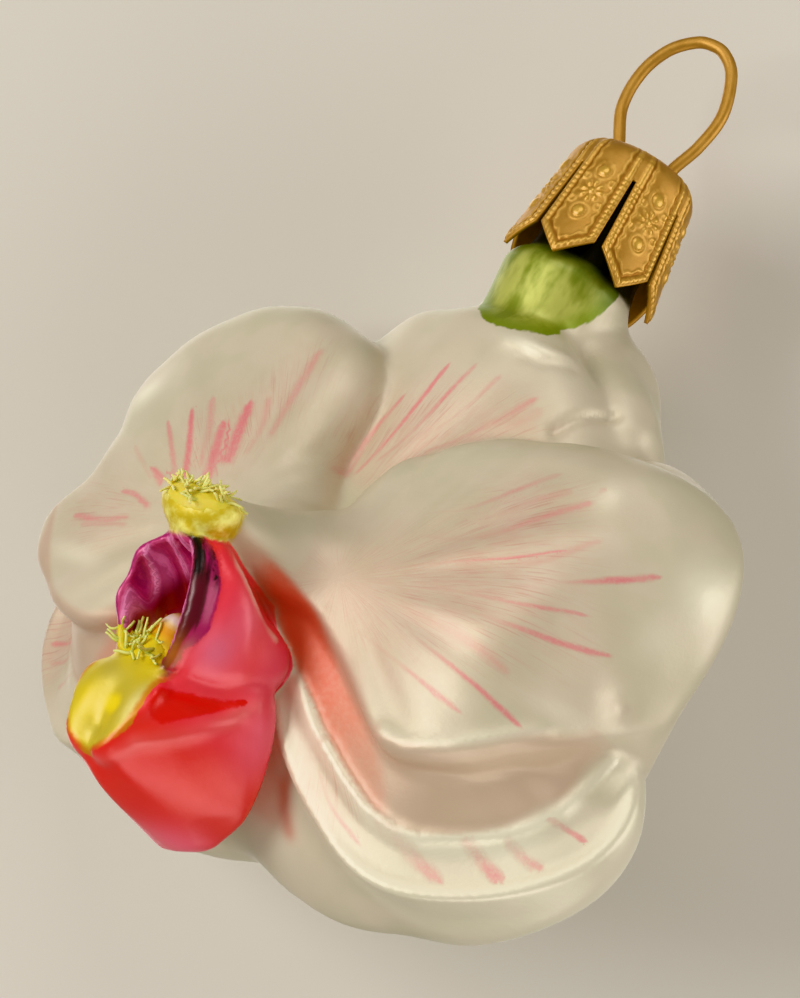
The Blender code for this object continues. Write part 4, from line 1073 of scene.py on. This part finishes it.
def make_wire():
    """One bent wire: leg, loop and leg, a round bar along a path in one upright plane."""
    track = smooth([(-u, z) for u, z in LEG[::-1]] + LOOP + LEG, 10)
    turn = math.radians(LOOP_TURN)
    path = track @ [[math.cos(turn), math.sin(turn), 0], [0, 0, 1]]
    normal = np.array([-math.sin(turn), math.cos(turn), 0.0])
    points, faces = [], []
    n = len(path)
    for i, q in enumerate(path):
        along = path[min(i + 1, n - 1)] - path[max(i - 1, 0)]
        across = np.cross(normal, along / np.linalg.norm(along))
        for k in range(WIRE_SIDES):
            a = 2 * math.pi * (k + 0.5) / WIRE_SIDES
            points.append(q + WIRE_RADIUS * (math.cos(a) * across + math.sin(a) * normal))
    for i, k in product(range(n - 1), range(WIRE_SIDES)):
        a, b = i * WIRE_SIDES + k, i * WIRE_SIDES + (k + 1) % WIRE_SIDES
        faces.append((a, b, b + WIRE_SIDES, a + WIRE_SIDES))
    faces.append(range(WIRE_SIDES)[::-1])
    faces.append(range((n - 1) * WIRE_SIDES, n * WIRE_SIDES))
    return new_object("bent_wire", points, faces)


def make_tuft(name, low, high, centre, radii, fibres, length, lean, seed):
    """Curly fibres laid over a thin film of glue, their roots sunk into it."""
    axes = grid_axes(low, high, TUFT_CELL)
    v, x, y, z = sample_flower(axes)
    # the field is rescaled to measure true millimetres near the surface
    slope = np.sqrt(sum(g * g for g in np.gradient(v, TUFT_CELL)))
    v = v / np.clip(slope, 0.5, 4.0)
    patch = ellipsoid(x, y, z, centre, radii)
    film = np.maximum(v - GLUE_THICKNESS * ease(-patch / 0.8) - 0.02, np.maximum(-0.6 - v, patch))
    pad = new_object("pad", *surface_of(film, axes, False))
    mend(pad, keep_largest)
    bm = bmesh.new()
    bm.from_mesh(pad.data)
    bpy.data.objects.remove(pad, do_unlink=True)
    reach_layer = bm.verts.layers.float.new("reach")
    for vert in bm.verts:
        vert[reach_layer] = -1.0
    bm.normal_update()
    rng = np.random.default_rng(seed)
    lean = np.array(lean) / np.linalg.norm(lean)
    tops = [f for f in bm.faces if np.dot(f.normal, lean) > 0.5]
    roots = [(in_flower(f.calc_center_median()), np.array(f.normal)) for f in tops]
    for n in rng.permutation(len(roots))[:fibres]:
        root, normal = roots[n]
        flat = rng.normal(0, 1, 3)
        flat = flat - (flat @ normal) * normal
        way = FIBRE_RISE * normal + flat / np.linalg.norm(flat) + 0.35 * lean
        way = way / np.linalg.norm(way)
        side = np.cross(way, (0.3, 0.9, 0.2))
        side = side / np.linalg.norm(side)
        other = np.cross(way, side)
        reach = length * rng.uniform(0.6, 1.0)
        curl = rng.uniform(-0.3, 0.3, 2) * reach
        thick = rng.uniform(0.15, 0.21)
        rings = []
        for level in np.linspace(0, 1, FIBRE_RINGS):
            bend = (side * curl[0] + other * curl[1]) * level ** 2
            sway = 0.12 * side * math.sin(5.0 * level + curl[0])
            spot = root - 0.25 * normal + way * reach * level + bend + sway
            width = thick * (1 - 0.40 * level)
            ring = []
            for a in np.arange(FIBRE_SIDES) * 2 * math.pi / FIBRE_SIDES:
                corner = bm.verts.new(place(spot + width * (side * math.cos(a) + other * math.sin(a))))
                corner[reach_layer] = level
                ring.append(corner)
            rings.append(ring)
        for lower, upper in zip(rings, rings[1:]):
            for a, b, c, d in zip(lower, lower[1:] + lower[:1], upper[1:] + upper[:1], upper):
                bm.faces.new((a, b, c, d))
        bm.faces.new(rings[0][::-1])
        bm.faces.new(rings[-1])
    mesh = bpy.data.meshes.new(name)
    bm.to_mesh(mesh)
    bm.free()
    return linked(name, mesh)


# Materials


def srgb(red, green, blue):
    """A colour as seen on a screen, 0 to 255, as the shader's linear colour."""
    shares = (red / 255, green / 255, blue / 255)
    return tuple(c / 12.92 if c < 0.04045 else ((c + 0.055) / 1.055) ** 2.4 for c in shares)


class Finish:
    """A material and short names for building its nodes.

    Wherever a method takes a value, it may be a number, a node's output or the name of a mask.
    """

    def __init__(self, name):
        self.material = bpy.data.materials.new(name)
        self.material.use_nodes = True
        self.tree = self.material.node_tree
        self.shader = self.tree.nodes["Principled BSDF"]

    def node(self, kind, inputs=(), output=0, **settings):
        """Make a node and give one of its outputs."""
        node = self.tree.nodes.new(kind)
        for key, value in settings.items():
            setattr(node, key, value)
        for key, value in dict(inputs).items():
            self.put(node.inputs[key], value)
        return node.outputs[output]

    def put(self, socket, value):
        """Link an output to a socket, or set the socket's own value."""
        if isinstance(value, str):
            value = self.node("ShaderNodeAttribute", output="Fac", attribute_name=value)
        if isinstance(value, bpy.types.NodeSocket):
            self.tree.links.new(value, socket)
        elif isinstance(value, tuple) and len(value) == 3 and socket.type == "RGBA":
            socket.default_value = (*value, 1.0)
        else:
            socket.default_value = value

    def set(self, **inputs):
        for key, value in inputs.items():
            self.put(self.shader.inputs[key.replace("_", " ")], value)

    def math(self, operation, first, *others):
        """Apply an operation to two values, and then to its result and each further one."""
        if not others:
            return self.node("ShaderNodeMath", {0: first}, operation=operation)
        for other in others:
            first = self.node("ShaderNodeMath", {0: first, 1: other}, operation=operation)
        return first

    def times(self, *values):
        return self.math("MULTIPLY", *values)

    def plus(self, *values):
        return self.math("ADD", *values)

    def swing(self, noise, amount):
        """A noise moved to lie about zero, times an amount."""
        return self.times(self.plus(noise, -0.5), amount)

    def step(self, value, start, end, low=0.0, high=1.0):
        """Smooth step from low at start to high at end."""
        inputs = {"Value": value, "From Min": start, "From Max": end, "To Min": low, "To Max": high}
        return self.node("ShaderNodeMapRange", inputs, "Result", interpolation_type="SMOOTHSTEP")

    def mix(self, share, first, second):
        inputs = {0: share, 6: first, 7: second}
        return self.node("ShaderNodeMix", inputs, 2, data_type="RGBA", clamp_factor=True)

    def tones(self, value, start, end, first, second):
        """From one screen colour to another as a value goes from start to end."""
        return self.mix(self.step(value, start, end), srgb(*first), srgb(*second))

    def over(self, colour, *coats):
        """Lay screen colours over a colour, each by the strength of its mask times a number."""
        for mask, strength, rgb in coats:
            colour = self.mix(self.times(mask, strength), colour, srgb(*rgb))
        return colour

    def place(self):
        """The object's own coordinates in millimetres."""
        here = self.node("ShaderNodeTexCoord", output="Object")
        return self.node("ShaderNodeVectorMath", {0: here, "Scale": 1 / MM}, operation="SCALE")

    def join(self, x, y, z):
        return self.node("ShaderNodeCombineXYZ", {0: x, 1: y, 2: z})

    def noise(self, vector, scale, detail=2.0, rough=0.5):
        inputs = {"Vector": vector, "Scale": scale, "Detail": detail, "Roughness": rough}
        return self.node("ShaderNodeTexNoise", inputs, "Fac")

    def bump(self, *layers):
        """Stack (height, strength, distance in millimetres) bumps and use them as the normal."""
        below = {}
        for height, strength, distance in layers:
            inputs = {"Height": height, "Strength": strength, "Distance": distance * MM, **below}
            below = {"Normal": self.node("ShaderNodeBump", inputs, "Normal")}
        self.set(**below)

    def onto(self, thing):
        thing.data.materials.append(self.material)
        for face in thing.data.polygons:
            face.use_smooth = True


def lacquer():
    """Pearl lacquer on the petals with brushed pink, and the painted lip, column and sleeve."""
    m = Finish("pearl_lacquer")
    here = m.place()
    # streaky noise that follows the fan of each petal
    spread = m.times("fan_angle", 9.0)
    fan = m.join(spread, m.times("fan_radius", 0.09), 0.0)
    long_fan = m.join(spread, m.times("fan_radius", 0.018), 0.0)
    bristle = m.noise(fan, 4.0, 3.0, 0.6)
    wide_bristle = m.noise(fan, 1.3)
    hairs = m.noise(long_fan, 11.0, 2.0, 0.55)
    grain = m.noise(here, 1.6, 3.0, 0.6)
    mottle = m.noise(here, 0.16)
    fine = m.noise(here, 3.5, 2.0, 0.6)
    blotch = m.noise(here, 0.55, 3.0, 0.6)
    # petals
    cloudy = m.times("blush", m.step(bristle, 0.30, 0.75, 0.55, 1.35))
    thin = m.times(m.step(hairs, 0.56, 0.66), m.step("blush", 0.05, 0.30))
    # the run between the petals and the sepals is a darker pinkish brown: partly pink paint, partly painted
    # shade in the recess
    colour = m.over(m.tones(mottle, 0.35, 0.65, (216, 205, 182), (208, 200, 174)),
                    # pale cream where the pearl is lightened: painted highlights
                    ("painted_light", 0.85, (246, 240, 216)), ("valley", 0.60, (200, 166, 144)),
                    (cloudy, 1.0, (212, 158, 144)), (thin, 0.35, (196, 128, 118)))
    # brush strokes with ragged edges
    mark = 0.0
    for group in "01":
        ragged = m.plus(m.math("ABSOLUTE", "stroke" + group), m.swing(bristle, 1.4), m.swing(grain, 0.5))
        one = m.times(m.step(ragged, 1.45, 0.15), m.step("guard" + group, 1.7, 1.2), "strength" + group)
        mark = m.math("MAXIMUM", mark, one)
    mark = m.times(mark, m.step(wide_bristle, 0.25, 0.55, 0.6, 1.0), m.step(fine, 0.30, 0.55, 0.75, 1.0))
    tint = m.tones(mark, 0.10, 0.60, (208, 150, 136), (230, 112, 128))
    colour = m.mix(m.times(mark, 0.82), colour, tint)
    # coral run between the petals and the sepals
    run = m.times("coral", m.step(grain, 0.2, 0.7, 0.7, 0.95))
    colour = m.over(colour, (run, 1.0, (214, 122, 96)), ("hot", 0.75, (228, 112, 92)),
                    ("hollow", 0.75, (214, 122, 100)))
    # lip: coral flanks; the pink edges are pink paint lightened where the flanks turn from the light, which is
    # painted light
    upper = m.tones(mottle, 0.3, 0.7, (240, 66, 80), (244, 84, 92))
    lower = m.tones(mottle, 0.3, 0.7, (228, 46, 42), (232, 58, 50))
    red = m.step(m.plus("red", m.swing(grain, 0.4)), 1.15, 0.85)
    coral = m.over(m.mix("lower", upper, lower), ("pale_flank", 0.8, (228, 116, 144)),
                   # paler along the middle lobe's ridge: painted highlight
                   ("pink_edge_painted_light", 0.85, (244, 108, 132)), ("ridge", 0.5, (240, 128, 126)),
                   (red, 1.0, (224, 20, 10)))
    # lip: dark rolled edge and the folded inside of the side lobes, lighter on the crests of the folds and
    # darker in their creases: painted light and shade
    along = m.noise(m.join(m.times("throat", 2.0), m.times(blotch, 1.2), 0.0), 1.2)
    dark = m.tones(m.plus("flap", m.swing(along, 1.2)), -0.55, -0.25, (92, 26, 40), (176, 40, 100))
    black = m.times(m.step("flap_height", -0.2, 0.2), m.step(along, 0.62, 0.44))
    dark = m.over(dark, (black, 1.0, (14, 1, 4)), ("amber", 0.9, (180, 104, 44)),
                  ("left_half", 1.0, (176, 44, 112)))
    painted_crease_shade = m.noise(m.join(m.times("fold", 0.8), m.times("throat", 0.9), blotch), 2.2, 3.0, 0.6)
    inner = m.over(m.tones("fold", -0.7, 0.6, (226, 96, 146), (255, 158, 210)),
                   (m.step(painted_crease_shade, 0.58, 0.40), 0.50, (166, 50, 92)),
                   (m.step(fine, 0.55, 0.8), 0.35, (226, 120, 190)), ("deep", 1.0, (132, 20, 34)))
    uneven = m.swing(grain, 0.35)
    on_flap = m.step(m.plus("flap", uneven), 0.10, -0.10)
    paint = m.mix(m.step(m.plus("throat", uneven), 0.45, 0.15), m.mix(on_flap, coral, dark), inner)
    # lip: yellow boss with an orange border
    callus = m.plus("callus", uneven)
    gold = m.over(m.tones(mottle, 0.35, 0.65, (208, 188, 64), (230, 204, 36)),
                  (m.step("spot", 0.3, 0.9), 1.0, (255, 228, 0)), ("olive", 0.6, (190, 176, 86)),
                  # pale band at the boss's border: painted highlight
                  ("pearly_painted_highlight", 0.7, (224, 216, 160)), (m.step(callus, -0.8, -0.15), 1.0, (208, 134, 34)),
                  ("orange", 0.7, (224, 128, 28)))
    boss = m.times(m.step(callus, 0.06, -0.06), "on_boss")
    paint = m.over(m.mix(boss, paint, gold), ("ledge", 0.85, (240, 232, 236)),
                   ("flank_end", 0.8, (214, 132, 112)))
    on_lip = m.step("lip", 0.08, -0.04)
    # pale line along the raised seam: painted highlight
    on_seam_highlight = m.step("seam_highlight", 0.75, 0.10)
    colour = m.over(m.mix(on_lip, colour, paint), (on_seam_highlight, 0.75, (240, 178, 166)))
    # column and sleeve, with painted shade under the cap's tabs
    on_column = m.step(m.plus("column", m.times(uneven, 2.0)), 0.35, -0.15)
    colour = m.mix(on_column, colour, m.tones(blotch, 0.35, 0.65, (212, 188, 52), (255, 248, 142)))
    upright = m.node("ShaderNodeVectorMath", {0: here, 1: (1.0, 1.0, 0.4)}, operation="MULTIPLY")
    patches = m.noise(upright, 0.42, 3.0, 0.6)
    rim = m.plus("sleeve", m.swing(patches, 1.6))
    # the sleeve turns dark olive towards the cap's tabs: painted shade
    leaf = m.over(m.tones(patches, 0.35, 0.65, (132, 144, 50), (194, 197, 106)),
                  (m.step(rim, -1.8, -0.2), 0.85, (126, 146, 28)), ("sleeve_painted_shade", 0.75, (74, 96, 8)))
    on_sleeve = m.step(rim, 0.12, -0.12)
    # near-black ring on the neck under the cap's tabs: painted shade
    colour = m.over(m.mix(on_sleeve, colour, leaf), ("painted_shade_under_tabs", 1.0, (14, 14, 4)))
    # gloss
    glossy = m.math("MAXIMUM", on_lip, on_sleeve)
    rough = m.plus(m.step(on_lip, 0.0, 1.0, 0.50, 0.36), m.times("painted_light", -0.10), m.swing(grain, 0.14),
                   m.times(boss, on_lip, 0.10))
    metal = m.plus(m.times(m.math("MAXIMUM", boss, on_sleeve), 0.20), m.step(on_lip, 0.0, 1.0, 0.30, 0.10))
    coat = m.plus(m.step(glossy, 0.0, 1.0, 0.12, 0.30), m.times(black, on_flap, on_lip, -0.24))
    m.set(Base_Color=colour, Roughness=rough, Metallic=metal, Coat_Weight=coat, Coat_Roughness=0.32)
    m.bump((mottle, 0.2, 0.20), (grain, 0.25, 0.05), (bristle, 0.25, 0.03), (fine, 0.35, 0.025))
    return m


def gilding(name, stamping):
    """Dull gold, deeper in the hollows of a stamping, with painted highlights on its raised parts."""
    m = Finish(name)
    here = m.place()
    cloudy = m.noise(here, 0.8, 3.0, 0.6)
    grain = m.noise(here, 5.0, 3.0, 0.65)
    colour = m.tones(cloudy, 0.3, 0.7, (206, 160, 86), (220, 176, 100))
    rough = m.plus(m.step(cloudy, 0.3, 0.7, 0.44, 0.54), m.swing(grain, 0.20))
    if stamping:
        # raised parts of the stamping are brighter: painted highlights
        colour = m.over(colour, (m.step("stamp", 0.05, -0.06), 1.0, (160, 112, 56)),
                        (m.step("stamp", 0.06, 0.22), 0.8, (234, 190, 100)))
        rough = m.plus(rough, m.step("stamp", 0.06, 0.20, 0.0, -0.14))
    else:
        colour = m.mix(0.5, colour, srgb(170, 124, 62))
    m.set(Base_Color=colour, Roughness=rough, Metallic=0.72)
    m.bump((grain, 0.35, 0.03), (cloudy, 0.2, 0.10))
    return m


def fibre_finish(name, pale, deep, glue):
    """Waxy fibres, darker at the root, and the glue that holds them."""
    m = Finish(name)
    here = m.place()
    cloudy = m.noise(here, 1.2, 2.0, 0.6)
    grain = m.noise(here, 6.0, 2.0, 0.6)
    colour = m.over(m.tones("reach", 0.05, 0.7, deep, pale), (m.step(cloudy, 0.35, 0.65), 0.35, deep),
                    (m.step("reach", -0.2, -0.6), 1.0, glue))
    m.set(Base_Color=colour, Roughness=m.step(grain, 0.3, 0.7, 0.38, 0.55))
    m.set(Subsurface_Weight=0.15, Subsurface_Scale=0.001)
    m.bump((grain, 0.4, 0.03), (cloudy, 0.3, 0.08))
    return m


# Stage, lights and camera


def camera_axes():
    """Right, up and towards the camera, as the photograph was taken."""
    a, e, s = (math.radians(t) for t in (CAMERA_AZIMUTH, CAMERA_ELEVATION, CAMERA_ROLL))
    back = np.array([math.sin(a) * math.cos(e), -math.cos(a) * math.cos(e), math.sin(e)])
    right = np.array([math.cos(a), math.sin(a), 0.0])
    up = np.array([-math.sin(a) * math.sin(e), math.cos(a) * math.sin(e), math.cos(e)])
    return math.cos(s) * right + math.sin(s) * up, -math.sin(s) * right + math.cos(s) * up, back


def from_camera(right, up, back):
    """A place given in millimetres from the target, along the picture's own axes."""
    return np.array(CAMERA_TARGET) + (right, up, back) @ np.array(camera_axes())


def aimed(thing, spot, target=CAMERA_TARGET):
    """Put a camera, light or plane at a spot, its -Z towards the target, its up as in the picture."""
    away = np.array(spot, float) - np.array(target, float)
    away = away / np.linalg.norm(away)
    side = np.cross(camera_axes()[1], away)
    side = side / np.linalg.norm(side)
    turn = Matrix([side, np.cross(away, side), away]).transposed().to_4x4()
    thing.matrix_world = Matrix.Translation(place(spot)) @ turn


def add_camera():
    camera = linked("camera", bpy.data.cameras.new("camera"))
    camera.data.lens = CAMERA_LENS
    camera.data.sensor_width = 36.0
    camera.data.clip_start = 0.01
    camera.data.clip_end = 10.0
    aimed(camera, from_camera(0, 0, CAMERA_DISTANCE))
    bpy.context.scene.camera = camera


def add_light(name, spot, size, power, colour):
    light = bpy.data.lights.new(name, "AREA")
    light.shape = "RECTANGLE"
    light.size, light.size_y = size[0] * MM, size[1] * MM
    light.energy = power
    light.color = colour
    aimed(linked(name, light), from_camera(*spot))


def add_stage(pieces):
    """A sheet of pale paper square to the camera, that the object lies on."""
    back = camera_axes()[2]
    lowest = min((np.array([v.co for v in p.data.vertices]) @ back).min() for p in pieces)
    depth = lowest / MM - (np.array(CAMERA_TARGET) - (0, 0, LOOP_INSIDE_TOP)) @ back
    mesh = bpy.data.meshes.new("backdrop")
    bm = bmesh.new()
    bmesh.ops.create_grid(bm, x_segments=8, y_segments=8, size=PAPER_HALF_SIZE)
    bm.to_mesh(mesh)
    bm.free()
    sheet_object = linked("backdrop", mesh)
    aimed(sheet_object, from_camera(0, 0, depth - 0.4), from_camera(0, 0, depth - 10.0))
    # it touches the object's back, so it takes no part in shadows, bounces or reflections
    sheet_object.visible_shadow = False
    sheet_object.visible_diffuse = False
    sheet_object.visible_glossy = False
    # one-sided: clear where a ray meets its back
    m = Finish("paper")
    m.set(Base_Color=PAPER_COLOUR, Roughness=0.9)
    behind = m.node("ShaderNodeNewGeometry", output="Backfacing")
    clear = m.node("ShaderNodeBsdfTransparent")
    both = m.node("ShaderNodeMixShader", {0: behind, 1: m.shader.outputs[0], 2: clear})
    m.put(m.tree.nodes["Material Output"].inputs[0], both)
    mesh.materials.append(m.material)


def add_world():
    world = bpy.data.worlds.new("soft")
    world.use_nodes = True
    background = world.node_tree.nodes["Background"]
    background.inputs[0].default_value = (*WORLD_COLOUR, 1)
    background.inputs[1].default_value = WORLD_STRENGTH
    bpy.context.scene.world = world


glass = make_glass()
cap = make_cap()
wire = make_wire()
column_tuft = make_tuft("column_tuft", **COLUMN_TUFT)
lip_tuft = make_tuft("lip_tuft", **LIP_TUFT)
lacquer().onto(glass)
gilding("gilt_stamping", True).onto(cap)
gilding("gilt_rod", False).onto(wire)
fibre_finish("pale_fibres", (234, 228, 146), (214, 204, 96), (226, 206, 80)).onto(column_tuft)
fibre_finish("green_fibres", (228, 230, 140), (196, 198, 96), (220, 196, 44)).onto(lip_tuft)
dressed = [(glass, "glass_flower", "lacquered_glass"), (cap, "crown_cap", "gilt_cap"),
           (wire, "wire_hanger", "gilt_wire"), (column_tuft, "column_fibres", "pale_fibre"),
           (lip_tuft, "lip_fibres", "green_fibre")]
for piece, node, slot in dressed:
    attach(piece, "root")
    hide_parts(node)
bpy.context.scene.view_settings.view_transform = "Khronos PBR Neutral"
add_camera()
add_stage([d[0] for d in dressed])
add_world()
for light in LIGHTS:
    add_light(*light)
